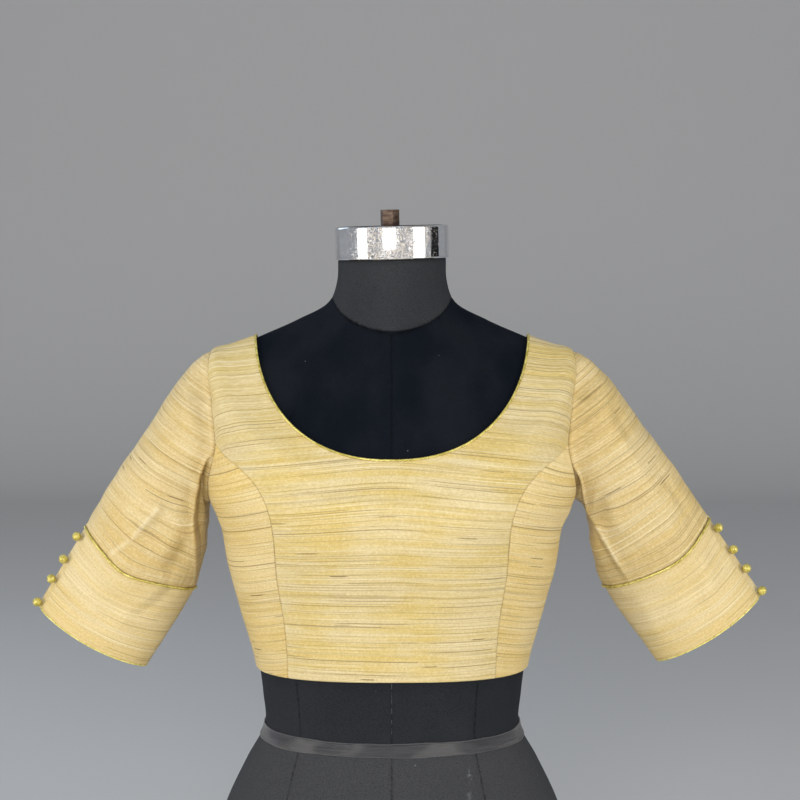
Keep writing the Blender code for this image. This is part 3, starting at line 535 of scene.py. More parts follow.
# Length and spacing of the slubs, half their thickness, how rare they are and how dark
PALE_SLUBS = (0.14, 0.0065, 0.0006, 0.0)
DARK_SLUBS = (
    (0.20, 0.0028, 0.00044, 0.00, 0.40),
    (0.12, 0.0090, 0.00058, 0.10, 0.62),
    (0.26, 0.0200, 0.00064, 0.20, 0.66),
    (0.026, 0.0110, 0.00070, 0.84, 0.92),
)
# Gathers beside a seam: pitch of each wave along it and its phase, then their swelling's own pitch
GATHER_WAVES = ((0.0052, 1.0), (0.0083, 2.3), (0.0137, 4.1), (0.0290, 0.7))
GATHER_SWELL, GATHER_ROOT = 0.061, 0.0012
# Slight waviness: waves round the piece and up it, height and phase
WAVINESS = ((61, 23, 1.0, 1.0), (-35, 88, 0.7, 2.1), (131, 97, 0.5, 3.7), (64, 210, 0.35, 0.6))
SEAM_LINE_HALF = 0.00065  # half the width of a seam's dark line: partly the thread, partly painted shade in the seam's groove
# How far the cloth turns in at a seam and stands proud beside it: place, half width, height
SEAM_SHAPE = ((0.0, 0.0007, -0.00065), (0.0028, 0.0016, 0.00016))


def slubs(tree, place, length, apart, thick, rare=0.0, shift=0.0):
    """Thin lines along the weft, each in a cell of its own: up to 1 on a line and 0 off it."""
    moved = node(tree, "Mapping", {
        "Vector": place, "Location": (shift, shift * 0.7, 0), "Scale": (1 / length, 1 / apart, 1),
    }).outputs[0]
    cells = node(tree, "TexVoronoi", {"Vector": moved, "Scale": 1.0}, voronoi_dimensions="2D")
    off = node(tree, "VectorMath", {0: moved, 1: cells.outputs["Position"]}, operation="SUBTRACT")
    off = node(tree, "SeparateXYZ", {0: off.outputs[0]})
    along, across = (maths(tree, "ABSOLUTE", off.outputs[axis]) for axis in (0, 1))
    luck = node(tree, "SeparateColor", {0: cells.outputs["Color"]})
    on_line = between(tree, across, thick / apart, 0.35 * thick / apart)
    ends = between(tree, along, 0.50, 0.22)
    return times(tree, on_line, times(tree, between(tree, luck.outputs[0], rare, 1.0), ends))


def silk_material(name, gold, pale, streaks, seed):
    """gold and pale are the two tones that the cloth wanders between, streaks how lined it is."""
    umber, cream, brown = (0.40, 0.26, 0.085), (0.93, 0.83, 0.56), (0.150, 0.080, 0.020)
    thread, painted_highlight = (0.20, 0.105, 0.032), (0.95, 0.86, 0.62)
    look, tree, shader = blank_material(name, 0.45)
    flat = node(tree, "UVMap", uv_map="weave").outputs["UV"]
    sway = fitted(tree, noise(tree, flat, (5, 9, 1), 1, seed), 0.0060, -0.0030)
    place = node(tree, "VectorMath", {
        0: flat, 1: node(tree, "CombineXYZ", {"Y": sway}).outputs[0],
    }, operation="ADD").outputs[0]
    clouds = maths(tree, "ADD", noise(tree, flat, (15, 19, 1), 3, seed + 2),
                   noise(tree, place, (5, 150, 1), 2, seed + 1))
    faint = noise(tree, place, (9, 560, 1), 2, seed + 3)
    pale_lines = slubs(tree, place, *PALE_SLUBS, seed + 4)
    threads = noise(tree, place, (30, 1700, 1), 1, seed + 7)
    mottle = noise(tree, flat, (480, 620, 1), 2, seed + 8)
    lines = 0.0
    for number, (length, apart, thick, rare, dark) in enumerate(DARK_SLUBS):
        layer = slubs(tree, place, length, apart, thick, rare, seed + 5 + number)
        lines = maths(tree, "MAXIMUM", lines, times(tree, layer, dark * streaks))
    tone = mixed(tree, between(tree, clouds, 0.76, 1.24), gold, pale)
    tone = stained(tree, tone, umber, mottle, 0.50, 0.30, 0.20)
    tone = stained(tree, tone, cream, mottle, 0.50, 0.70, 0.26)
    tone = stained(tree, tone, umber, faint, 0.46, 0.26, 0.26 * streaks)
    tone = stained(tree, tone, cream, faint, 0.54, 0.74, 0.22)
    tone = mixed(tree, times(tree, pale_lines, 0.55), tone, cream)
    tone = mixed(tree, lines, tone, brown)
    tone = stained(tree, tone, umber, threads, 0.48, 0.25, 0.20)
    # The seams' dark brown line: partly the thread, partly painted shade in the seam's groove.
    tone = mixed(tree, times(tree, painted(tree, "sewn"), 0.60), tone, thread)
    # The crests of the pressed creases are painted pale: a painted highlight.
    tone = mixed(tree, times(tree, painted(tree, "pressed"), 0.34), tone, painted_highlight)
    waves = math.tau / 20 / WEAVE_PITCH
    weft = node(tree, "TexWave", {"Vector": place, "Scale": waves, "Distortion": 1.2}, bands_direction="Y")
    warp = node(tree, "TexWave", {"Vector": flat, "Scale": waves, "Distortion": 0.8}, bands_direction="X")
    height = fitted(tree, warp.outputs["Fac"], 0.5, weft.outputs["Fac"])
    for value, share in ((lines, 2.4), (pale_lines, 1.6), (threads, 1.4), (mottle, 1.6)):
        height = fitted(tree, value, share, height)
    bump(tree, shader, height, 0.00010)
    fill(tree, shader, {
        "Base Color": tone, "Specular IOR Level": 0.42, "Anisotropic": 0.45,
        "Roughness": fitted(tree, lines, 0.12, fitted(tree, mottle, 0.22, 0.34)),
        "Tangent": node(tree, "Tangent", direction_type="UV_MAP", uv_map="weave").outputs[0],
        "Sheen Weight": 0.12, "Sheen Roughness": 0.35, "Sheen Tint": (1.0, 0.86, 0.55, 1),
    })
    return look


def flat_cut(mesh, flat):
    """Writes each point's place on the flat cut into the mesh's UV map."""
    layer = mesh.uv_layers.new(name="weave")
    corner = np.empty(len(mesh.loops), int)
    mesh.loops.foreach_get("vertex_index", corner)
    layer.data.foreach_set("uv", flat.reshape(-1, 2)[corner].astype(np.float32).ravel())


def cloth(name, points, flat, look, node_name, sewn=None, offset=-1.0, pressed=None):
    """A sheet of silk on rows of points, given its thickness. It stands for one CAD node.

    sewn is 1 at the edges that are sewn, where a fine dark line is drawn: partly the thread, partly
    painted shade in the seam's groove. pressed is 1 on the crest of a sharp crease, where a painted
    highlight makes the silk pale.
    """
    mesh = quad_mesh(name, points)
    flat_cut(mesh, flat)
    if sewn is not None:
        add_attribute(mesh, "sewn", sewn)
    if pressed is not None:
        add_attribute(mesh, "pressed", pressed)
    sheet = shown(name, mesh, look)
    pick(sheet)
    wall = sheet.modifiers.new("thickness", "SOLIDIFY")
    wall.thickness = SILK_THICK
    wall.offset = offset
    bpy.ops.object.modifier_apply(modifier="thickness")
    stands_for(sheet, node_name)
    return sheet


def grid_normals(points):
    along = np.gradient(points, axis=1)
    up = np.gradient(points, axis=0)
    return unit(np.cross(along, up))


def run_from(points, axis, backwards=False):
    """How far each point of a grid is from its edge, measured along the rows or up the columns."""
    if backwards:
        points = np.flip(points, axis)
    step = np.linalg.norm(np.diff(points, axis=axis), axis=-1)
    first = np.zeros_like(np.take(step, [0], axis=axis))
    run = np.concatenate([first, np.cumsum(step, axis=axis)], axis=axis)
    return np.flip(run, axis) if backwards else run


def folds(flat, rows, power=2.0):
    """Ridges and troughs along lines on the flat cut, each fading out at both ends.

    With a power of 2 they are soft. Nearer 1 they come to a crest, as a pressed crease does.
    """
    total = np.zeros(flat.shape[:2])
    for start_u, start_v, end_u, end_v, width, height, fade in rows:
        line = np.array((end_u - start_u, end_v - start_v)) / 1000
        length = np.linalg.norm(line)
        off_u, off_v = flat[..., 0] - start_u / 1000, flat[..., 1] - start_v / 1000
        t = (off_u * line[0] + off_v * line[1]) / length**2
        aside = (off_u * line[1] - off_v * line[0]) / length
        ends = smoothstep(t / fade) * smoothstep((1 - t) / fade)
        total += height / 1000 * ends * hump(aside, width / 1000, power)
    return total


def puckers(run, off, reach, height, seed):
    """Small uneven gathers that stand across a seam. off is the distance from it."""
    waves = sum(np.sin(run * math.tau / pitch + seed * phase) for pitch, phase in GATHER_WAVES)
    swell = 0.6 + 0.4 * np.sin(run * math.tau / GATHER_SWELL + seed)
    return height * waves * swell * np.exp(-off / reach) * (1 - np.exp(-off / GATHER_ROOT))


def unevenness(flat, height, seed):
    """The slight waviness of cloth that has been worn and pressed."""
    u, v = flat[..., 0], flat[..., 1]
    return height * sum(
        share * np.sin(u * around + v * up + seed * phase) for around, up, share, phase in WAVINESS)


def hump(off, half_width, power=2):
    """1 where off is 0, and falling away smoothly on both sides."""
    return np.exp(-(np.abs(off / half_width) ** power))


def seam_line(off):
    return hump(off, SEAM_LINE_HALF)


def seam_dip(off):
    """The cloth turns in where it is sewn, and stands a little proud just beside the seam."""
    return sum(height * hump(off - at, half) for at, half, height in SEAM_SHAPE)


# The blouse's body
# Centre front, two side fronts and two backs, cut in silk and sewn edge to edge with the turnings
# pressed inside. The left back laps over the right one down the centre, where the blouse opens.
CLOTH = 0.0012
SHOULDER_HALF = 0.178
HEM_LEVEL, HEM_FRONT_RISE = 0.3235, 0.0015
NECK_LEVEL = 0.685
ARMHOLE_TOP, ARMHOLE_FOOT = 0.640, 0.4925
ARMHOLE_REACH = 0.052
PRINCESS_START = 88.0  # degrees down the armhole's front
OVERLAP, UNDERLAP, LAP_FULL, LAP_ROOT = 0.010, 0.004, 0.007, 0.018
LAP_LIFT = CLOTH + 0.0005
SHOULDER_TIP_RISE = 0.0035  # the turnings fill out the tip of the shoulder
GIRTH_RADIUS = 0.135  # turns an angle round the body into a length on the flat cut
VISIBLE_GAP = 0.00012  # between two sewn edges
HEM_TURN, HEM_TURN_WIDTH = 0.0007, 0.0006  # how far the hem's edge turns in, and over what width
BODY_WAVINESS, BODY_GATHER = 0.00013, 0.00010
SEAM_GATHER_REACH, HEM_GATHER_REACH = 0.009, 0.012
HEM_FLAT, HEM_EASE = 0.004, 0.03  # the folds start this far above the hem and grow over this length
PRINCESS_SEAM_LINE = 0.58  # how dark the line of a body seam is beside that of an armhole
SEAM_LINE_MEAN, SEAM_LINE_SWING = 0.72, 0.28  # that line comes and goes along the seam
# The princess seam from the hem up: height and distance from the centre
PRINCESS_ROWS = (
    (0.3250, 0.1015), (0.3500, 0.1020), (0.3750, 0.1035), (0.4100, 0.1080), (0.4450, 0.1115),
    (0.4700, 0.1130), (0.4900, 0.1165), (0.5050, 0.1220), (0.5200, 0.1320), (0.5340, 0.1480),
)
# Counts of faces, each one a coarse count times 8, which is how patch fills them in
PRINCESS_COUNT, ARMHOLE_COUNT, UNDERARM_COUNT, BACK_ARMHOLE_COUNT = 96, 48, 48, 96
NECK_COUNT, SHOULDER_COUNT, BACK_NECK_COUNT = 96, 24, 56
CROWDING, FADING, MEAN_RADIUS = 1.35, 3.0, 0.15
FRONT_DROOP, SIDE_DROOP, DROOP_ROUNDING = 0.12, 0.27, 0.03  # fall of the weft per metre across
# Folds in the body: from, to (mm across from the centre and up from the hem), width, height, fade
FRONT_FOLDS = (
    (-96, 62, -40, 66, 16, 0.5, 0.4),
    (30, 92, 98, 78, 14, 0.45, 0.4),
    (-70, 20, 10, 14, 12, -0.45, 0.4),
    (20, 34, 104, 26, 11, 0.4, 0.4),
    (-120, 205, -60, 190, 9, 0.5, 0.4),
    (64, 196, 128, 214, 8, 0.55, 0.4),
    (-142, 300, -128, 236, 12, 0.6, 0.4),
    (150, 300, 134, 240, 12, -0.5, 0.4),
)
SIDE_FOLDS = {
    "left": (
        (120, 171, 122, 137, 3.0, 1.5, 0.3),
        (127, 173, 129, 139, 2.5, 1.2, 0.3),
        (134, 167, 136, 135, 2.8, 0.9, 0.3),
        (118, 168, 150, 196, 7, 0.9, 0.35),
        (132, 60, 190, 44, 12, 0.8, 0.4),
        (112, 30, 150, 52, 8, -0.6, 0.4),
        (150, 108, 200, 92, 10, 0.8, 0.4),
        (168, 138, 196, 166, 6, 1.4, 0.35),
    ),
    "right": (
        (124, 118, 178, 88, 13, 1.0, 0.4),
        (116, 66, 176, 60, 9, -0.7, 0.4),
        (130, 34, 176, 22, 9, 0.8, 0.4),
        (150, 150, 196, 150, 8, 1.1, 0.35),
        (120, 172, 146, 190, 6, 0.7, 0.35),
    ),
}
BACK_FOLDS = {
    "left": (
        (-330, 60, -270, 74, 12, 0.8, 0.4),
        (-300, 130, -250, 170, 10, 0.7, 0.4),
        (-390, 96, -330, 90, 14, -0.6, 0.4),
        (-290, 210, -262, 250, 8, 0.8, 0.4),
    ),
    "right": (
        (-322, 46, -262, 60, 11, 0.7, 0.4),
        (-310, 150, -246, 176, 12, 0.8, 0.4),
        (-380, 120, -320, 104, 12, -0.6, 0.4),
        (-280, 222, -258, 262, 8, 0.6, 0.4),
    ),
}


def cloth_point(angle, level, lift=0.0):
    """The blouse's inner surface over the form, moved out by lift."""
    angle, level = np.broadcast_arrays(np.asarray(angle, float), np.asarray(level, float))
    sideways = np.cos(angle) ** 4
    ends = np.where(np.sin(angle) < 0, torso("ease_front", level), torso("ease_back", level))
    ease = torso("ease_side", level) * sideways + ends * (1 - sideways)
    tip = SHOULDER_TIP_RISE * np.exp(-(((level - ARMHOLE_TOP) / 0.012) ** 2) - (np.sin(angle) / 0.22) ** 2)
    out = np.asarray(ease + tip + lift)[..., None]
    return form_point(angle, level, True) + out * torso_normal(angle, level, True)


def place_on_front(from_centre, height):
    """The angle and level of the blouse's point at that height and distance from the centre."""
    angle, level = -math.acos(min(from_centre / 0.19, 1.0)), height
    small = 1e-4
    for _ in range(40):
        here = cloth_point(angle, level)
        miss = np.array([from_centre - here[0], height - here[2]])
        turned = (cloth_point(angle + small, level) - here)[[0, 2]] / small
        raised = (cloth_point(angle, level + small) - here)[[0, 2]] / small
        step = np.linalg.solve(np.stack([turned, raised], axis=1), miss)
        angle += float(np.clip(step[0], -0.1, 0.1))
        level += float(np.clip(step[1], -0.02, 0.02))
    return angle, level


def even(count):
    return np.linspace(0, 1, count + 1)


def spaced(curve, shares):
    """Points of a curve at the given shares of its length on the blouse."""
    points = cloth_point(curve[:, 0], curve[:, 1])
    run = np.concatenate([[0], np.cumsum(np.linalg.norm(np.diff(points, axis=0), axis=1))])
    at = np.asarray(shares) * run[-1]
    return np.stack([np.interp(at, run, curve[:, k]) for k in (0, 1)], axis=-1)


def line(start, end, count=200):
    return np.linspace(start, end, count)


def armhole(turn):
    """The armhole seam: turn is 0 at the shoulder, 90 degrees in front and 180 under the arm."""
    turn = np.radians(turn)
    middle, half = (ARMHOLE_TOP + ARMHOLE_FOOT) / 2, (ARMHOLE_TOP - ARMHOLE_FOOT) / 2
    angle = -np.arctan2(ARMHOLE_REACH * np.sin(turn), SHOULDER_HALF)
    return np.stack([angle, middle + half * np.cos(turn)], axis=-1)


def hem_level(angle):
    return HEM_LEVEL + HEM_FRONT_RISE * np.maximum(-np.sin(angle), 0) ** 2


def hem_line(start, end):
    angle = line(start, end)
    return np.stack([angle, hem_level(angle)], axis=-1)


def princess_seam():
    """From the hem up to the armhole."""
    places = np.array([place_on_front(aside, height) for height, aside in PRINCESS_ROWS])
    places[0, 1] = hem_level(places[0, 0])
    places = np.vstack([places, armhole(PRINCESS_START)])
    knots = np.arange(len(places), dtype=float)
    fine = np.linspace(0, knots[-1], 300)
    return np.stack([hermite(knots, places[:, k], fine) for k in (0, 1)], axis=-1)


def patch(foot, top, left, right, halvings=3):
    """Fills four edges with an even grid of (angle, level), from a coarse one to finer ones."""
    scale = np.array([MEAN_RADIUS, 1.0])
    across = np.linspace(0, 1, len(foot))[None, :, None]
    up = np.linspace(0, 1, len(left))[:, None, None]
    if halvings:
        coarse = patch(foot[::2], top[::2], left[::2], right[::2], halvings - 1)
        rows = np.zeros((len(left), coarse.shape[1], 2))
        rows[::2], rows[1::2] = coarse, (coarse[1:] + coarse[:-1]) / 2
        grid = np.zeros((len(left), len(foot), 2))
        grid[:, ::2], grid[:, 1::2] = rows, (rows[:, 1:] + rows[:, :-1]) / 2
        grid[0], grid[-1], grid[:, 0], grid[:, -1] = foot, top, left, right
    else:
        grid = (1 - across) * left[:, None] + across * right[:, None]
        grid += (1 - up) ** FADING * (foot - (1 - across) * foot[0] - across * foot[-1])
        grid += up ** FADING * (top - (1 - across) * top[0] - across * top[-1])
    grid = grid * scale
    for _ in range(50 if halvings else 150):
        north, south, east, west = grid[2:, 1:-1], grid[:-2, 1:-1], grid[1:-1, 2:], grid[1:-1, :-2]
        row_way, column_way = (east - west) / 2, (north - south) / 2
        turn = (grid[2:, 2:] - grid[2:, :-2] - grid[:-2, 2:] + grid[:-2, :-2]) / 4
        by_rows = np.sum(column_way**2, axis=-1, keepdims=True)
        by_columns = np.sum(row_way**2, axis=-1, keepdims=True)
        skew = np.sum(row_way * column_way, axis=-1, keepdims=True)
        grid[1:-1, 1:-1] = (
            by_rows * (east + west) + by_columns * (north + south) - 2 * skew * turn
        ) / (2 * (by_rows + by_columns))
    return grid / scale


def crowded(grid):
    """The grid with more rows and columns close to its edges, where the cloth turns in."""
    for axis in (0, 1):
        grid = np.moveaxis(grid, axis, 0)
        last = len(grid) - 1.0
        near = np.array((0.12, 0.25, 0.4, 0.6, 0.8, 1.3, 1.6))
        at = np.unique(np.concatenate([np.arange(len(grid)), near, last - near]))
        low = np.minimum(at.astype(int), len(grid) - 2)
        share = (at - low)[:, None, None]
        grid = np.moveaxis(grid[low] * (1 - share) + grid[low + 1] * share, 0, axis)
    return grid


def top_edge(start, count):
    """The neckline from start to the shoulder, then along the shoulder seam to the armhole."""
    neck = spaced(line((start, NECK_LEVEL), (0, NECK_LEVEL)), 1 - (1 - even(count)) ** CROWDING)
    shoulder = spaced(line((0, NECK_LEVEL), (0, ARMHOLE_TOP)), even(SHOULDER_COUNT))
    return np.vstack([neck[:-1], shoulder])


def angle_behind(x, level):
    return math.atan2(float(torso("back", level)), x)


def back_line(x, count):
    """A line of the back that runs from the hem up to the neckline beside the centre."""
    low, high = (angle_behind(x, level) for level in (HEM_LEVEL, NECK_LEVEL))
    return spaced(line((low, HEM_LEVEL), (high, NECK_LEVEL)), even(count))


def side_line():
    return spaced(line((0, HEM_LEVEL), (0, ARMHOLE_FOOT)), even(PRINCESS_COUNT))


def lap_lift(x):
    """The left back rises over the right back where they lap."""
    return LAP_LIFT * smoothstep((LAP_ROOT - x) / (LAP_ROOT - LAP_FULL))


def flat_body(places, points):
    """Flat cut of a body piece: round the body, and up the cloth's own surface from the hem."""
    rise = np.hypot(np.diff(points[..., 1], axis=0), np.diff(points[..., 2], axis=0))
    up = np.concatenate([np.zeros((1, points.shape[1])), np.cumsum(rise, axis=0)])
    return np.stack([GIRTH_RADIUS * (places[..., 0] + math.pi / 2), up], axis=-1)


def front_droop(flat, points):
    """In front the weft hangs down towards the shoulders, as a yoke cut across does."""
    aside = np.hypot(points[..., 0], DROOP_ROUNDING)
    up = points[..., 2] - HEM_LEVEL
    up = up + (flat[..., 1] - up) * smoothstep((flat[..., 1] - 0.20) / 0.12)
    return up + FRONT_DROOP * smoothstep((up - 0.07) / 0.10) * aside


def side_droop(flat, points):
    """A side front's weft falls away from the princess seam."""
    seam_x = np.interp(points[..., 2], points[:, 0, 2], points[:, 0, 0])
    return points[..., 2] - HEM_LEVEL + SIDE_DROOP * (points[..., 0] - seam_x)


def body_piece(name, places, look, fold_rows, seams, seed, mirror=False, lift=0.0, droop=None):
    """One cut piece. seams names the edges that are sewn: left, right, and top past the neck."""
    plain = cloth_point(places[..., 0], places[..., 1], CLOTH + lift)
    flat = flat_body(places, plain)
    inner = cloth_point(places[..., 0], places[..., 1])
    relief = folds(flat, fold_rows) + unevenness(flat, BODY_WAVINESS, seed)
    relief = relief * smoothstep((flat[..., 1] - HEM_FLAT) / HEM_EASE)
    sewn = np.zeros_like(relief)
    for edge, share in seams.items():
        axis, backwards = {"left": (1, False), "right": (1, True), "top": (0, True)}[edge]
        off = run_from(inner, axis, backwards)
        along = run_from(inner, 1 - axis)
        gathers = puckers(along, off, SEAM_GATHER_REACH, BODY_GATHER, seed + axis)
        relief = relief + share * (seam_dip(off) + gathers)
        # a seam's dark line, partly thread and partly painted shade in its groove, comes and goes along it
        drawn = SEAM_LINE_MEAN + SEAM_LINE_SWING * np.sin(along * 690 + seed) * np.sin(along * 241)
        sewn = np.maximum(sewn, PRINCESS_SEAM_LINE * drawn * share * seam_line(off))
    hem = run_from(inner, 0)
    relief = relief - HEM_TURN * hump(hem, HEM_TURN_WIDTH)
    relief = relief + puckers(run_from(inner, 1), hem, HEM_GATHER_REACH, BODY_GATHER, seed + 5)
    points = plain + relief[..., None] * torso_normal(places[..., 0], places[..., 1], True)
    if droop:
        flat = np.stack([flat[..., 0], droop(flat, plain)], axis=-1)
    if mirror:
        points, flat = (points * (-1, 1, 1))[:, ::-1], (flat * (-1, 1))[:, ::-1]
        sewn = sewn[:, ::-1]
    return cloth(name, points, flat, look, name.replace("_silk", ""), sewn)


SILK_FRONT = silk_material("raw silk front", (0.680, 0.512, 0.163), (0.728, 0.600, 0.318), 1.0, 3.1)
SILK_SIDE = silk_material("raw silk sides", (0.710, 0.520, 0.175), (0.760, 0.600, 0.290), 1.0, 17.4)
SILK_BACK = silk_material("raw silk backs", (0.690, 0.500, 0.170), (0.740, 0.595, 0.300), 1.0, 29.8)

upper = PRINCESS_START * even(ARMHOLE_COUNT) ** CROWDING
under = PRINCESS_START + (180 - PRINCESS_START) * even(UNDERARM_COUNT)
behind = 360 - 180 * even(BACK_ARMHOLE_COUNT)[::-1] ** CROWDING
princess = spaced(princess_seam(), even(PRINCESS_COUNT))
front = -math.pi / 2

right_edge = np.vstack([princess[:-1], armhole(upper)[::-1]])
centre_line = spaced(line((front, hem_level(front)), (front, NECK_LEVEL)), even(len(right_edge) - 1))
top = top_edge(front, NECK_COUNT)
foot = spaced(hem_line(front, princess[0, 0]), even(len(top) - 1))
half = patch(foot, top, centre_line, right_edge)
other_half = np.stack([-math.pi - half[..., 0], half[..., 1]], axis=-1)[:, ::-1]
whole = crowded(np.concatenate([other_half, half[:, 1:]], axis=1))
on_shoulder = smoothstep((np.abs(whole[-1:, :, 0] + math.pi / 2) - 1.50) / 0.04)
front_centre = body_piece(
    "front_centre_silk", whole, SILK_FRONT, FRONT_FOLDS, {"left": 1.0, "right": 1.0, "top": on_shoulder}, 1.3,
    droop=front_droop)

side_places = crowded(patch(
    spaced(hem_line(princess[0, 0], 0), even(UNDERARM_COUNT)), armhole(under), princess, side_line()))
side_fronts = [
    body_piece(f"side_front_{side}_silk", side_places, SILK_SIDE, SIDE_FOLDS[side],
               {"left": 1.0, "right": 1.0, "top": 1.0}, seed, mirror=side == "right", droop=side_droop)
    for side, seed in (("left", 2.9), ("right", 5.2))
]

back_edge = np.vstack([side_line()[:-1], armhole(behind)])
for side, past_centre, seed in (("left", OVERLAP, 7.7), ("right", UNDERLAP, 9.1)):
    edges = (-past_centre, 0.0, LAP_FULL)
    count = len(back_edge) - 1
    left_edge = back_line(LAP_ROOT, count)
    top = top_edge(left_edge[-1, 0], BACK_NECK_COUNT)
    foot = spaced(hem_line(left_edge[0, 0], 0), even(len(top) - 1))
    main = patch(foot, top, left_edge, back_edge)
    beside = np.concatenate([back_line(x, count)[:, None] for x in edges], axis=1)
    places = crowded(np.concatenate([beside, main], axis=1))
    lift = 0.0
    if side == "left":
        lift = lap_lift(cloth_point(places[..., 0], places[..., 1])[..., 0])
    at_shoulder = smoothstep((0.04 - np.abs(places[-1:, :, 0])) / 0.03)
    # a back's rows run from the centre to the side, so its faces are turned to look out
    turned = places[:, ::-1]
    lift = lift[:, ::-1] if side == "left" else lift
    body_piece(
        f"back_{side}_silk", turned, SILK_BACK, BACK_FOLDS[side],
        {"left": 1.0, "top": at_shoulder[:, ::-1]}, seed, mirror=side == "right", lift=lift)

# The neckline's piping
# A thin cord in a bias strip of green-gold satin, caught in the neckline's seam all the way round
# from one edge of the back opening to the other. The strip's fine wrinkles run slantwise.
PIPING_RADIUS, PIPING_CLEAR, PIPING_STOP = 0.0011, 0.00030, 0.0015


def piping_material(name, dark, light, glint):
    look, tree, shader = blank_material(name, 0.30)
    flat = node(tree, "UVMap", uv_map="weave").outputs["UV"]
    slant = node(tree, "Mapping", {"Vector": flat, "Rotation": (0, 0, math.radians(40))}).outputs[0]
    wrinkles = noise(tree, slant, (200, 800, 1), 2)
    colour = mixed(tree, between(tree, noise(tree, flat, (110, 420, 1), 3), 0.38, 0.66), dark, light)
    # Painted shade and painted highlight on the strip's wrinkles: a dark brown in their troughs and the glint
    # colour on their crests.
    colour = stained(tree, colour, (0.16, 0.105, 0.012), wrinkles, 0.46, 0.30, 0.36)
    fill(tree, shader, {
        "Base Color": stained(tree, colour, glint, wrinkles, 0.58, 0.72, 0.5), "Metallic": 0.30,
        "Roughness": fitted(tree, wrinkles, 0.25, 0.17), "Specular IOR Level": 0.60,
        "Sheen Weight": 0.10, "Sheen Tint": (1.0, 0.95, 0.45, 1),
    })
    bump(tree, shader, wrinkles, 0.0004)
    return look


def covered_cord(name, path, radius, look, sides=14):
    """A round cord along a path with rounded-off ends, sewn with a strip wound on its length."""
    ahead = unit(np.gradient(path, axis=0))
    run = np.concatenate([[0], np.cumsum(np.linalg.norm(np.diff(path, axis=0), axis=1))])
    aside = unit(np.cross(ahead, (0.0, 0.0, 1.0)))
    other = np.cross(ahead, aside)
    turn = np.linspace(0, math.tau, sides + 1)
    thick = radius * (1 + 0.035 * np.sin(run * 2300) + 0.03 * np.sin(run * 870))
    thick[0] = thick[-1] = radius * 0.55
    ring = np.cos(turn)[None, :, None] * aside[:, None] + np.sin(turn)[None, :, None] * other[:, None]
    points = path[:, None] + thick[:, None, None] * ring
    flat = np.stack(np.broadcast_arrays(run[:, None], radius * turn[None]), axis=-1)
    mesh = quad_mesh(name, points)
    flat_cut(mesh, flat)
    return closed_up(shown(name, mesh, look))


PIPING = piping_material("gold piping", (0.44, 0.35, 0.055), (0.76, 0.66, 0.19), (0.95, 0.90, 0.46))
start = angle_behind(-OVERLAP, NECK_LEVEL)
stop = -math.pi - angle_behind(OVERLAP + PIPING_STOP, NECK_LEVEL)
neck_angle = np.linspace(start, stop, 620)
edge = cloth_point(neck_angle, NECK_LEVEL, CLOTH * 0.9)
beyond = cloth_point(neck_angle, NECK_LEVEL + 0.002, CLOTH * 0.9)
lap = np.where(neck_angle > 0, lap_lift(edge[:, 0]), 0.0)[:, None]
path = edge + unit(beyond - edge) * (PIPING_RADIUS + PIPING_CLEAR - 0.0002)
path = path + torso_normal(neck_angle, NECK_LEVEL) * lap
neck_cord = covered_cord("neck_piping_cord", path, PIPING_RADIUS, PIPING)
stands_for(neck_cord, "neck_piping")

# The sleeves
# Each sleeve is one piece of silk, sewn into the armhole and closed by a seam under the arm. It
# stands out stiffly, with the long soft creases of a sleeve that was folded when it was pressed.

# A ring is spanned by its outer and inner point, seen from the front, and by its depths. reach is
# 0 at the armhole and 1 at the hem.
SLEEVE_COLUMNS = (
    "reach", "outer_x", "outer_z", "inner_x", "inner_z", "front", "back", "centre_y", "bow",
)
SLEEVE_ROWS = np.array((
    (0.00, 0.1783, 0.6400, 0.1840, 0.4925, 0.0510, 0.0510, 0.0000, 0.0000),
    (0.12, 0.2065, 0.6208, 0.1905, 0.4790, 0.0515, 0.0515, 0.0005, 0.0000),
    (0.30, 0.2447, 0.5690, 0.1940, 0.4620, 0.0480, 0.0480, 0.0020, 0.0000),
    (0.50, 0.2850, 0.5130, 0.1975, 0.4360, 0.0420, 0.0420, 0.0050, 0.0020),
    (0.70, 0.3148, 0.4662, 0.2079, 0.4009, 0.0360, 0.0360, 0.0090, 0.0115),
    (1.00, 0.3664, 0.3876, 0.2598, 0.3219, 0.0320, 0.0320, 0.0120, 0.0050),
))
SEAM_REACH, SEAM_CLEAR, ROOT_REACH = 0.70, 0.0008, 0.17
SWING = {"left": 1.75, "right": -1.75}  # degrees each sleeve hangs out from the mean
CREASE_AT, CREASE_WIDTH, CREASE_HEIGHT = 150.0, 15.0, 0.0035
ARM_RADIUS, SLEEVE_LENGTH = 0.050, 0.310  # turn a place on the sleeve into one on the flat cut
# The front of each sleeve is folded back on itself along its inner side: where that fold's edge
# runs (degrees round), how far the cloth behind it is set back and how far the edge stands out (m).
# Columns: reach, turn, back, edge.
TUCKS = {
    "right": (
        (0.00, 96, 0.000, 0.0000),
        (0.035, 102, 0.003, 0.0012),
        (0.070, 111, 0.011, 0.0022),
        (0.115, 117, 0.015, 0.0022),
        (0.25, 128, 0.021, 0.0020),
        (0.42, 140, 0.026, 0.0016),
        (0.55, 150, 0.022, 0.0012),
        (0.64, 160, 0.009, 0.0008),
        (0.70, 172, 0.000, 0.0000),
    ),
    "left": (
        (0.00, 112, 0.000, 0.0000),
        (0.03, 122, 0.011, 0.0018),
        (0.06, 138, 0.015, 0.0028),
        (0.12, 150, 0.012, 0.0030),
        (0.25, 147, 0.009, 0.0026),
        (0.38, 141, 0.006, 0.0024),
        (0.55, 134, 0.004, 0.0024),
        (0.64, 130, 0.002, 0.0018),
        (0.70, 128, 0.000, 0.0006),
    ),
}
TUCK_WIDTH, TUCK_EDGE_WIDTH, TUCK_EDGE_POWER = 6.5, 5.0, 1.4  # two in degrees
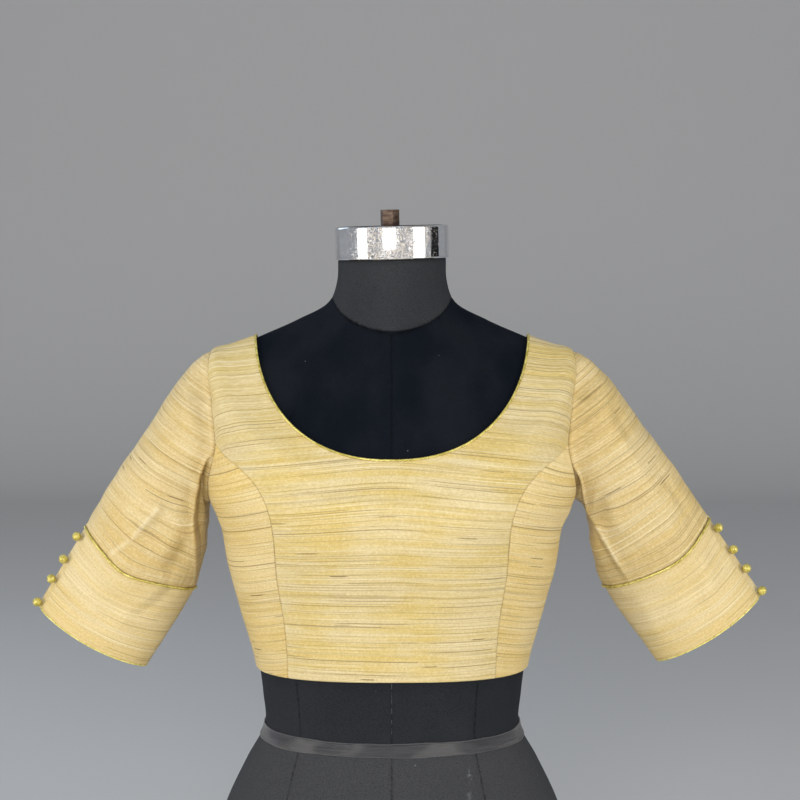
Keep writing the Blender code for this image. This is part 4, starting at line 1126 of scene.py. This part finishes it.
ROOT_RISE, ROOT_RISE_AT, ROOT_RISE_WIDTH = 0.0005, 0.0030, 0.0016  # the turnings inside the armhole
SLEEVE_WAVINESS, SLEEVE_GATHER, CUFF_SEAM_GATHER = 0.00045, 0.00014, 0.00026
CREASE_POWER = 1.25  # between a soft fold's 2 and a knife edge's 1
HEAD_SPREAD = 38  # degrees round from the shoulder over which the sleeve's head is raised
SLEEVE_HEAD_RISE = {"left": 0.0035, "right": 0.0030}
# Soft folds: from, to (mm round from the front middle towards the body, and down from the
# armhole), width, height, fade
SLEEVE_FOLDS = {
    "left": (
        (-4, 30, -4, 205, 13, -2.0, 0.35),
        (18, 60, 26, 190, 9, 1.6, 0.35),
        (-40, 120, -42, 205, 6, -1.4, 0.35),
        (-44, 50, -32, 100, 7, -1.2, 0.35),
        (30, 130, 8, 205, 6, -0.9, 0.35),
    ),
    "right": (
        (-26, 50, -20, 196, 15, 2.4, 0.30),
        (8, 90, 2, 196, 11, -2.2, 0.30),
        (38, 138, 27, 212, 7, -2.4, 0.30),
        (28, 118, 16, 204, 8, 1.6, 0.35),
        (-36, 40, -24, 90, 8, -1.4, 0.35),
        (22, 30, 36, 100, 7, 1.8, 0.30),
    ),
}
# Pressed creases and gathers, in the same columns
SLEEVE_CREASES = {
    "left": (
        (-25, 38, -23, 128, 11, 2.8, 0.25),
        (-23, 108, -17, 213, 11, 3.0, 0.20),
        (-32, 184, -25, 214, 2.6, 1.1, 0.30),
        (-14, 188, -10, 214, 2.4, -1.0, 0.30),
        (-5, 190, -1, 215, 2.4, 1.1, 0.30),
        (6, 192, 9, 215, 2.2, 0.8, 0.30),
        (19, 194, 22, 215, 2.2, -0.8, 0.30),
        (-36, 148, -28, 176, 3.0, 0.9, 0.30),
    ),
    "right": (
        (1, 124, -12, 188, 4.0, 2.3, 0.18),
        (-11, 183, -24, 216, 3.2, 2.3, 0.22),
        (-38, 178, -30, 213, 2.6, 1.1, 0.30),
        (-30, 196, -27, 215, 2.0, 0.8, 0.30),
        (-8, 196, -3, 215, 2.2, 1.0, 0.30),
        (9, 196, 13, 215, 2.2, -0.9, 0.30),
        (24, 198, 27, 215, 2.2, 0.8, 0.30),
        (-34, 88, -22, 70, 3.0, 0.9, 0.30),
    ),
}
# Painted highlights: sharp pale lines along the crests of the pressed creases, in the same columns, with a
# share of the pale highlight tone
PAINTED_CREST_HIGHLIGHTS = {
    "left": (
        (44, 16, 54, 36, 1.5, 700, 0.30),
        (48, 96, 43, 122, 1.5, 800, 0.35),
        (43, 117, 35, 195, 1.5, 1000, 0.20),
    ),
    "right": (
        (0, 128, -11, 187, 1.7, 1000, 0.18),
        (-11, 184, -16, 198, 1.6, 900, 0.30),
        (-15, 192, -23, 215, 1.6, 900, 0.25),
    ),
}
HIDDEN_FOLDS = (
    (150, 40, 160, 190, 15, 2.2, 0.3),
    (178, 60, 172, 205, 11, -1.5, 0.3),
    (205, 90, 198, 206, 9, 1.3, 0.35),
    (128, 110, 136, 200, 8, -1.2, 0.35),
    (166, 190, 170, 214, 3.0, 0.9, 0.35),
    (186, 192, 190, 214, 2.8, -0.8, 0.35),
)
CUFF_SEAM_LINE = 0.7  # how dark the line of a cuff's seam is beside that of an armhole
# How far the cuff's seam sags: where (degrees round), over how many degrees, and how far (m)
SEAM_SAG = {"right": (84.0, 24.0, 0.0050), "left": (74.0, 24.0, 0.0030)}


def sleeve(name, reach):
    return hermite(SLEEVE_ROWS[:, 0], SLEEVE_ROWS[:, SLEEVE_COLUMNS.index(name)], reach)


def swung(x, z, swing):
    """Turns a point seen from the front about the top of the armhole."""
    a = math.radians(swing)
    dx, dz = x - SHOULDER_HALF, z - ARMHOLE_TOP
    return (
        SHOULDER_HALF + dx * math.cos(a) - dz * math.sin(a),
        ARMHOLE_TOP + dz * math.cos(a) + dx * math.sin(a),
    )


def sleeve_ring(turn, reach, swing, lift=0.0):
    """A slanted oval ring: turn is 0 at its outer edge, 90 in front and 180 at its inner edge."""
    turn, reach = np.broadcast_arrays(np.radians(turn), np.asarray(reach, float))
    outer_x, outer_z = swung(sleeve("outer_x", reach), sleeve("outer_z", reach), swing)
    inner_x, inner_z = swung(sleeve("inner_x", reach), sleeve("inner_z", reach), swing)
    half_x, half_z = (outer_x - inner_x) / 2, (outer_z - inner_z) / 2
    width = np.hypot(half_x, half_z)
    depth = np.where(np.sin(turn) > 0, sleeve("front", reach), sleeve("back", reach))
    off_crease = (np.degrees(turn) % 360 - CREASE_AT) / CREASE_WIDTH
    rise = CREASE_HEIGHT * np.exp(-off_crease**2) * smoothstep(reach / 0.25)
    rise = rise * smoothstep((0.78 - reach) / 0.3)
    width_out, depth_out = 1 + (rise + lift) / width, 1 + (rise + lift) / depth
    at, wide, drop = SEAM_SAG["left" if swing > 0 else "right"]
    sag = drop * np.exp(-(((np.degrees(turn) % 360 - at) / wide) ** 2) - ((reach - SEAM_REACH) / 0.13) ** 2)
    bow = sleeve("bow", reach) * np.sin(turn) ** 2 + sag
    x = (outer_x + inner_x) / 2 + half_x * np.cos(turn) * width_out + bow * half_z / width
    z = (outer_z + inner_z) / 2 + half_z * np.cos(turn) * width_out - bow * half_x / width
    y = sleeve("centre_y", reach) - depth * np.sin(turn) * depth_out
    return np.stack([x, y, z], axis=-1)


def sleeve_point(turn, reach, swing):
    """The sleeve with its root: it leaves the armhole squarely and turns into its own shape."""
    turn, reach = np.broadcast_arrays(np.asarray(turn, float), np.asarray(reach, float))
    place, nearby = armhole(turn), armhole(turn + 0.5)
    out = torso_normal(place[..., 0], place[..., 1], True)
    edge = cloth_point(place[..., 0], place[..., 1], CLOTH / 2)
    away = unit(np.cross(out, cloth_point(nearby[..., 0], nearby[..., 1], CLOTH / 2) - edge))
    square = (0.15 + 0.85 * np.sin(np.radians(turn % 360) / 2))[..., None]
    leaving = unit(square * out + (1 - square) * away)
    start = edge + away * (VISIBLE_GAP + CLOTH / 2 * square)
    joined = sleeve_ring(turn, np.full_like(reach, ROOT_REACH), swing)
    small = 0.002
    onward = sleeve_ring(turn, np.full_like(reach, ROOT_REACH + small), swing) - joined
    t = np.clip(reach / ROOT_REACH, 0, 1)[..., None]
    span = np.linalg.norm(joined - start, axis=-1, keepdims=True)
    root = (
        start * (1 + 2 * t) * (1 - t) ** 2
        + joined * t * t * (3 - 2 * t)
        + leaving * span * t * (1 - t) ** 2
        - onward * (ROOT_REACH / small) * t * t * (1 - t)
    )
    return np.where(t < 1, root, sleeve_ring(turn, reach, swing))


def around_arm(turn):
    """How far round the sleeve a turn is from the front middle, towards the body."""
    return ARM_RADIUS * np.radians(turn - 90.0)


def sleeve_weft(points, turn, reach, swing):
    """The warp's own length on a sleeve, so that the weft crosses it square to its outer edge."""
    lean = math.radians(36.5 + swing)
    aside, above = points[..., 0] - SHOULDER_HALF, points[..., 2] - ARMHOLE_TOP
    down = aside * math.sin(lean) - above * math.cos(lean)
    across = above * math.sin(lean) + aside * math.cos(lean)
    square = down + 1.3 * across**2
    blend = smoothstep((reach - 0.30) / 0.40)
    return square * (1 - blend) + reach * SLEEVE_LENGTH * blend


def tucked(turn, reach, side):
    """How far each point of a sleeve is set back behind the fold's edge, and the edge's own rise."""
    knots, *columns = np.array(TUCKS[side]).T
    at, back, edge = (hermite(knots, column, reach) for column in columns)
    round_front = np.where(turn > 360, turn - 360, turn)
    behind = smoothstep((round_front - at) / TUCK_WIDTH + 0.1)
    fading = np.where(turn > 360, 1.0, smoothstep((265 - turn) / 85))
    rise = edge * hump(round_front - at, TUCK_EDGE_WIDTH, TUCK_EDGE_POWER)
    return back * behind * fading, rise


def mirrored_if(points, side):
    return points * (-1, 1, 1)[: points.shape[-1]] if side == "right" else points


def arm_cloth(kind, side, look, forwards, points, flat, *marks):
    """A sleeve or a cuff from its rows of points, from the hem up. marks: sewn and pressed."""
    points, flat = mirrored_if(points, side), mirrored_if(flat, side)
    points, flat, *marks = (grid[::-1, :: 1 if forwards else -1] for grid in (points, flat, *marks))
    sewn, pressed = (*marks, None)[:2]
    return cloth(f"{kind}_{side}_silk", points, flat, look, f"{kind}_{side}", sewn, 0.0, pressed)


SILK_SLEEVE = silk_material("raw silk sleeves", (0.650, 0.475, 0.180), (0.710, 0.562, 0.290), 0.86, 41.5)
SLEEVE_BACK_COUNT, SLEEVE_OUTER_COUNT, SLEEVE_TUCK_COUNT, SLEEVE_DOWN = 70, 52, 92, 150
for side, seed in (("left", 11.2), ("right", 13.9)):
    turn = np.unique(np.concatenate([
        np.linspace(180, 360, SLEEVE_BACK_COUNT), np.linspace(360, 452, SLEEVE_OUTER_COUNT),
        np.linspace(452, 540, SLEEVE_TUCK_COUNT),
    ]))[None]
    reach = ((SEAM_REACH - SEAM_CLEAR) * even(SLEEVE_DOWN) ** 1.15)[:, None]
    turn, reach = np.broadcast_arrays(turn, reach)
    plain = sleeve_point(turn, reach, SWING[side])
    out = grid_normals(plain)
    # turns past 360 are the front again, and those before it the hidden back of the sleeve
    front_turn = np.where(turn > 360, turn - 360, turn)
    flat = np.stack([around_arm(front_turn), reach * SLEEVE_LENGTH], axis=-1)
    relief = folds(flat, SLEEVE_FOLDS[side]) + folds(flat, HIDDEN_FOLDS)
    relief = relief + folds(flat, SLEEVE_CREASES[side], CREASE_POWER)
    relief = relief + unevenness(flat, SLEEVE_WAVINESS, seed)
    relief = relief * smoothstep(reach / 0.07) * smoothstep((SEAM_REACH - reach) / 0.035)
    off_top = np.minimum(np.abs(turn - 360), 180)
    head = smoothstep(reach / 0.03) * smoothstep((0.16 - reach) / 0.10)
    relief = relief + SLEEVE_HEAD_RISE[side] * head * hump(off_top, HEAD_SPREAD)
    root, cuff_seam = run_from(plain, 0), run_from(plain, 0, True)
    relief = relief + ROOT_RISE * hump(root - ROOT_RISE_AT, ROOT_RISE_WIDTH) + 0.6 * seam_dip(root)
    relief = relief + puckers(flat[..., 0], root, 0.010, SLEEVE_GATHER, seed)
    relief = relief + puckers(flat[..., 0], cuff_seam, 0.015, CUFF_SEAM_GATHER, seed + 2)
    relief = relief + seam_dip(cuff_seam)
    for backwards in (False, True):
        relief = relief + seam_dip(run_from(plain, 1, backwards))
    # The crests of the pressed creases get pale lines of painted highlight.
    pressed = np.clip(folds(flat, PAINTED_CREST_HIGHLIGHTS[side]), 0, 1)
    set_back, rise = tucked(turn, reach, side)
    points = plain + (relief + rise)[..., None] * out + set_back[..., None] * (0, 1, 0)
    flat = np.stack([around_arm(turn), -sleeve_weft(points, front_turn, reach, SWING[side])], axis=-1)
    # the dark lines of the armhole and cuff seams: partly thread, partly painted shade in their grooves
    sewn = np.maximum(seam_line(root), CUFF_SEAM_LINE * seam_line(cuff_seam))
    arm_cloth("sleeve", side, SILK_SLEEVE, side == "left", points, flat, sewn, pressed)

# The cuffs
# Deep bands of the same silk with the weft running round them. A slit along the outer edge is
# lapped, front over back, and closed by the buttons. The hem is edged with the green-gold satin.
LAP_FRONT_END, LAP_BACK_END, LAP_ENTRY = 23.0, 397.0, 363.0
LAP_DEPTH = CLOTH + 0.0004
CUFF_AROUND, CUFF_DOWN = 230, 64
CUFF_WAVINESS, CUFF_GATHER = 0.00022, 0.00012
CUFF_HEM_TURN, LAP_TURN, LAP_TURN_WIDTH = 0.0006, 0.0004, 0.0005
CUFF_FOLDS = {
    "left": (
        (-34, 212, -10, 300, 9, 2.2, 0.3),
        (-18, 214, 4, 300, 8, -2.0, 0.3),
        (30, 222, 42, 300, 10, 1.5, 0.35),
    ),
    "right": (
        (46, 204, 16, 270, 7, -2.4, 0.25),
        (34, 214, 6, 290, 9, 1.8, 0.35),
        (-16, 216, -30, 296, 9, 1.6, 0.35),
        (0, 240, 4, 304, 8, -1.3, 0.4),
    ),
}


def cuff_point(turn, reach, swing, lift=0.0):
    """The cuff's strip. Past its outer edge the back end goes in, under the front end."""
    inward = (np.asarray(turn, float) - LAP_ENTRY) / (360 + LAP_FRONT_END - LAP_ENTRY)
    return sleeve_ring(turn, reach, swing, -LAP_DEPTH * smoothstep(inward) + lift)


SILK_CUFF = silk_material("raw silk cuffs", (0.720, 0.545, 0.225), (0.770, 0.625, 0.340), 0.55, 57.2)
for side, seed in (("left", 15.1), ("right", 19.6)):
    turn = LAP_FRONT_END + (LAP_BACK_END - LAP_FRONT_END) * even(CUFF_AROUND)
    near = np.array((0.15, 0.35, 0.6, 0.9, 1.2, 1.6))
    turn = np.unique(np.concatenate([turn, LAP_FRONT_END + near, LAP_BACK_END - near]))
    reach = SEAM_REACH + SEAM_CLEAR + (1 - SEAM_REACH - SEAM_CLEAR) * even(CUFF_DOWN)
    reach = np.unique(np.concatenate([reach, 1 - np.array((0.0008, 0.0016, 0.0028))]))[:, None]
    turn, reach = np.broadcast_arrays(turn[None], reach)
    plain = cuff_point(turn, reach, SWING[side])
    out = grid_normals(plain)
    flat = np.stack([around_arm(turn), reach * SLEEVE_LENGTH], axis=-1)
    lapped = smoothstep((LAP_ENTRY - turn) / 20) * smoothstep((turn - LAP_FRONT_END - 3) / 14)
    relief = (folds(flat, CUFF_FOLDS[side]) + unevenness(flat, CUFF_WAVINESS, seed)) * lapped
    head, hem = run_from(plain, 0), run_from(plain, 0, True)
    relief = relief + seam_dip(head) + puckers(flat[..., 0], head, 0.010, CUFF_GATHER, seed) * lapped
    relief = relief - CUFF_HEM_TURN * hump(hem, HEM_TURN_WIDTH)
    front_edge = run_from(plain, 1)
    relief = relief - LAP_TURN * hump(front_edge, LAP_TURN_WIDTH)
    points = plain + relief[..., None] * out
    flat = np.stack([flat[..., 0], -flat[..., 1]], axis=-1)
    # the dark line of the cuff's seam: partly thread, partly painted shade in its groove
    arm_cloth(
        "cuff", side, SILK_CUFF, side == "right", points, flat, CUFF_SEAM_LINE * seam_line(head))

# The cuffs' piping and hem edging
# The same covered cord lies in the seam between sleeve and cuff, and a hair-fine edge of the same
# satin shows all round the hem of the cuff.
CUFF_PIPING_RADIUS, HEM_EDGE_RADIUS = 0.0012, 0.00075
HEM_EDGING = piping_material("hem edging", (0.66, 0.58, 0.14), (0.84, 0.80, 0.30), (0.95, 0.93, 0.55))
for side in ("left", "right"):
    turn = np.linspace(LAP_FRONT_END - 13, LAP_ENTRY - 13, 330)
    lift = CLOTH / 2 + 0.00035 + CUFF_PIPING_RADIUS
    path = mirrored_if(sleeve_ring(turn, SEAM_REACH, SWING[side], lift - 0.0003), side)
    cord = covered_cord(f"cuff_piping_{side}_cord", path, CUFF_PIPING_RADIUS, PIPING)
    stands_for(cord, f"cuff_piping_{side}")
    turn = np.linspace(LAP_FRONT_END, LAP_BACK_END, 330)
    hem = cuff_point(turn, 1.0, SWING[side], 0.0)
    down = unit(hem - cuff_point(turn, 0.99, SWING[side], 0.0))
    path = mirrored_if(hem + 0.0008 * down, side)
    hem_edge = covered_cord(f"cuff_edge_{side}_cord", path, HEM_EDGE_RADIUS, HEM_EDGING, 8)
    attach(hem_edge, "root")

# The buttons
# Small ball buttons covered in the green-gold satin: a round of cloth gathered over a bead, tied
# under it and sewn to the cuff's lap by the tied end. Four stand along each cuff's outer edge.
BUTTON_RADIUS, STEM_RADIUS, BUTTON_STAND = 0.0046, 0.0016, 0.0004
BUTTON_ANGLE = 15.0
BUTTON_PLACES = (0.12, 0.415, 0.665, 0.96)  # shares of the cuff's depth
GATHERS = 11


def make_button():
    """One button at the origin, its stem's foot at height 0 and its crown up."""
    centre = BUTTON_RADIUS + BUTTON_STAND
    bpy.ops.mesh.primitive_uv_sphere_add(segments=44, ring_count=26, radius=BUTTON_RADIUS, location=(0, 0, 0))
    ball = bpy.context.object
    ball.data.uv_layers[0].name = "weave"
    for corner in ball.data.uv_layers[0].data:
        corner.uv = (corner.uv[0] * math.tau * BUTTON_RADIUS, corner.uv[1] * math.pi * BUTTON_RADIUS)
    for point in ball.data.vertices:
        turn = math.atan2(point.co.y, point.co.x)
        low = max(0.0, -point.co.z / BUTTON_RADIUS)
        pleat = 1 + 0.075 * low * math.sin(GATHERS * turn + 5 * low)
        drawn = 1 - 0.20 * low**6
        point.co.x *= pleat * drawn
        point.co.y *= pleat * drawn
        point.co.z = point.co.z * 0.97 + centre
    bpy.ops.mesh.primitive_cylinder_add(
        vertices=24, radius=STEM_RADIUS, depth=0.0014, location=(0, 0, 0.0007))
    stem = bpy.context.object
    stem.data.uv_layers[0].name = "weave"
    bpy.ops.object.mode_set(mode="EDIT")
    bpy.ops.mesh.select_all(action="SELECT")
    bpy.ops.mesh.subdivide(number_cuts=2)
    bpy.ops.object.mode_set(mode="OBJECT")
    ball.select_set(True)
    bpy.context.view_layer.objects.active = ball
    bpy.ops.object.join()
    bpy.ops.object.shade_smooth()
    ball.data.materials.append(BUTTON_SATIN)
    return ball


BUTTON_SATIN = piping_material(
    "button satin", (0.44, 0.36, 0.050), (0.72, 0.62, 0.16), (0.95, 0.90, 0.45))
model = make_button()
for side in ("left", "right"):
    for number, share in enumerate(BUTTON_PLACES, 1):
        reach = SEAM_REACH + (1 - SEAM_REACH) * share
        seat, outside, before, after, down = (
            mirrored_if(cuff_point(BUTTON_ANGLE + turned, reach + lowered, SWING[side], lift), side)
            for turned, lowered, lift in (
                (0, 0, CLOTH / 2), (0, 0, CLOTH / 2 + 0.002), (-3, 0, 0), (3, 0, 0), (0, 0.01, 0)))
        facing = unit(np.cross(after - before, down - seat))
        facing = facing * np.sign(np.dot(facing, outside - seat))
        pick(model)
        bpy.ops.object.duplicate()
        button = bpy.context.object
        button.name = f"button_{side}_{number}_satin"
        spin = 0.9 * number + (0.5 if side == "left" else 0.0)
        tip = Vector(facing).to_track_quat("Z", "Y")
        button.rotation_mode = "QUATERNION"
        button.rotation_quaternion = tip @ Quaternion((0, 0, 1), spin)
        button.location = seat - facing * 0.0003
        bpy.ops.object.transform_apply(location=True, rotation=True, scale=True)
        stands_for(button, f"button_{side}_{number}")
bpy.data.objects.remove(model, do_unlink=True)

# The floor, the lights and the camera
# A pale seamless sweep under soft daylight from the front, a little from the wearer's right, and
# the camera of a portrait lens just above the neck, looking slightly down.
SWEEP_HALF, SWEEP_FRONT, SWEEP_BACK, SWEEP_RADIUS, SWEEP_TOP = 4.6, -4.4, 3.6, 0.9, 3.8
CAMERA_PLACE, CAMERA_PITCH = (0.008, -2.2, 0.7856), 5.06
CAMERA_LENS, CAMERA_SENSOR = 99.0, 36.0
SUBJECT = (0.0, 0.0, 0.48)

bend = np.radians(np.linspace(-90, 0, 24))
curve = zip(SWEEP_BACK + SWEEP_RADIUS * np.cos(bend), SWEEP_RADIUS * (1 + np.sin(bend)))
profile = [(SWEEP_FRONT, 0.0), *curve, (SWEEP_BACK + SWEEP_RADIUS, SWEEP_TOP)]
rows = np.array([[(side * SWEEP_HALF, y, z) for side in (-1, 1)] for y, z in profile])
sweep_look, tree, shader = blank_material("pale paper", 0.85)
shader.inputs["Base Color"].default_value = (0.60, 0.60, 0.606, 1)
sweep = shown("sweep", quad_mesh("sweep", rows), sweep_look)

# place, size, watts and colour of each light
LIGHTS = {
    "key": ((-0.25, -2.95, 1.00), (1.3, 0.9), 44, (1.0, 0.97, 0.92)),
    "window_left": ((-2.5, -1.35, 0.70), (1.0, 1.7), 44, (1.0, 0.97, 0.92)),
    "window_right": ((2.4, -1.55, 0.70), (1.2, 1.7), 44, (1.0, 0.97, 0.92)),
    "sky": ((-0.4, -0.2, 2.9), (2.4, 1.8), 8, (0.70, 0.84, 1.0)),
    "rim": ((-1.6, 1.3, 1.5), (0.7, 1.4), 6, (0.66, 0.82, 1.0)),
}
for name, (place, size, power, colour) in LIGHTS.items():
    light = bpy.data.lights.new(name, "AREA")
    light.shape = "RECTANGLE"
    light.size, light.size_y = size
    light.energy = power
    light.color = colour
    lamp = bpy.data.objects.new(name, light)
    bpy.context.scene.collection.objects.link(lamp)
    lamp.location = place
    aim = np.array(SUBJECT) - np.array(place)
    lamp.rotation_mode = "QUATERNION"
    lamp.rotation_quaternion = Vector(aim).to_track_quat("-Z", "Y")
    lamp.visible_camera = False

# A black card at the wearer's left, well outside the picture, gives the chrome its dark band
CARD_PLACE, CARD_SIZE, CARD_TURN = (4.3, 0.52, 1.2), (1.75, 2.3, 1), 97
upright = (math.pi / 2, 0, math.radians(CARD_TURN))
bpy.ops.mesh.primitive_plane_add(size=1, location=CARD_PLACE, rotation=upright)
card = bpy.context.object
card.name = "black_card_1"
card.scale = CARD_SIZE
finished(card)
card_look, _, shader = blank_material("black card 1", 0.9)
shader.inputs["Base Color"].default_value = (0.01, 0.01, 0.01, 1)
card.data.materials.append(card_look)
card.visible_camera = False

world = bpy.data.worlds.new("studio")
bpy.context.scene.world = world
world.use_nodes = True
world.node_tree.nodes["Background"].inputs[0].default_value = (0.90, 0.93, 0.97, 1)
world.node_tree.nodes["Background"].inputs[1].default_value = 0.32
bpy.context.scene.view_settings.view_transform = "Standard"

camera = bpy.data.cameras.new("camera")
camera.lens, camera.sensor_width = CAMERA_LENS, CAMERA_SENSOR
view = bpy.data.objects.new("camera", camera)
bpy.context.scene.collection.objects.link(view)
view.location = CAMERA_PLACE
view.rotation_euler = (math.radians(90 - CAMERA_PITCH), 0, 0)
bpy.context.scene.camera = view
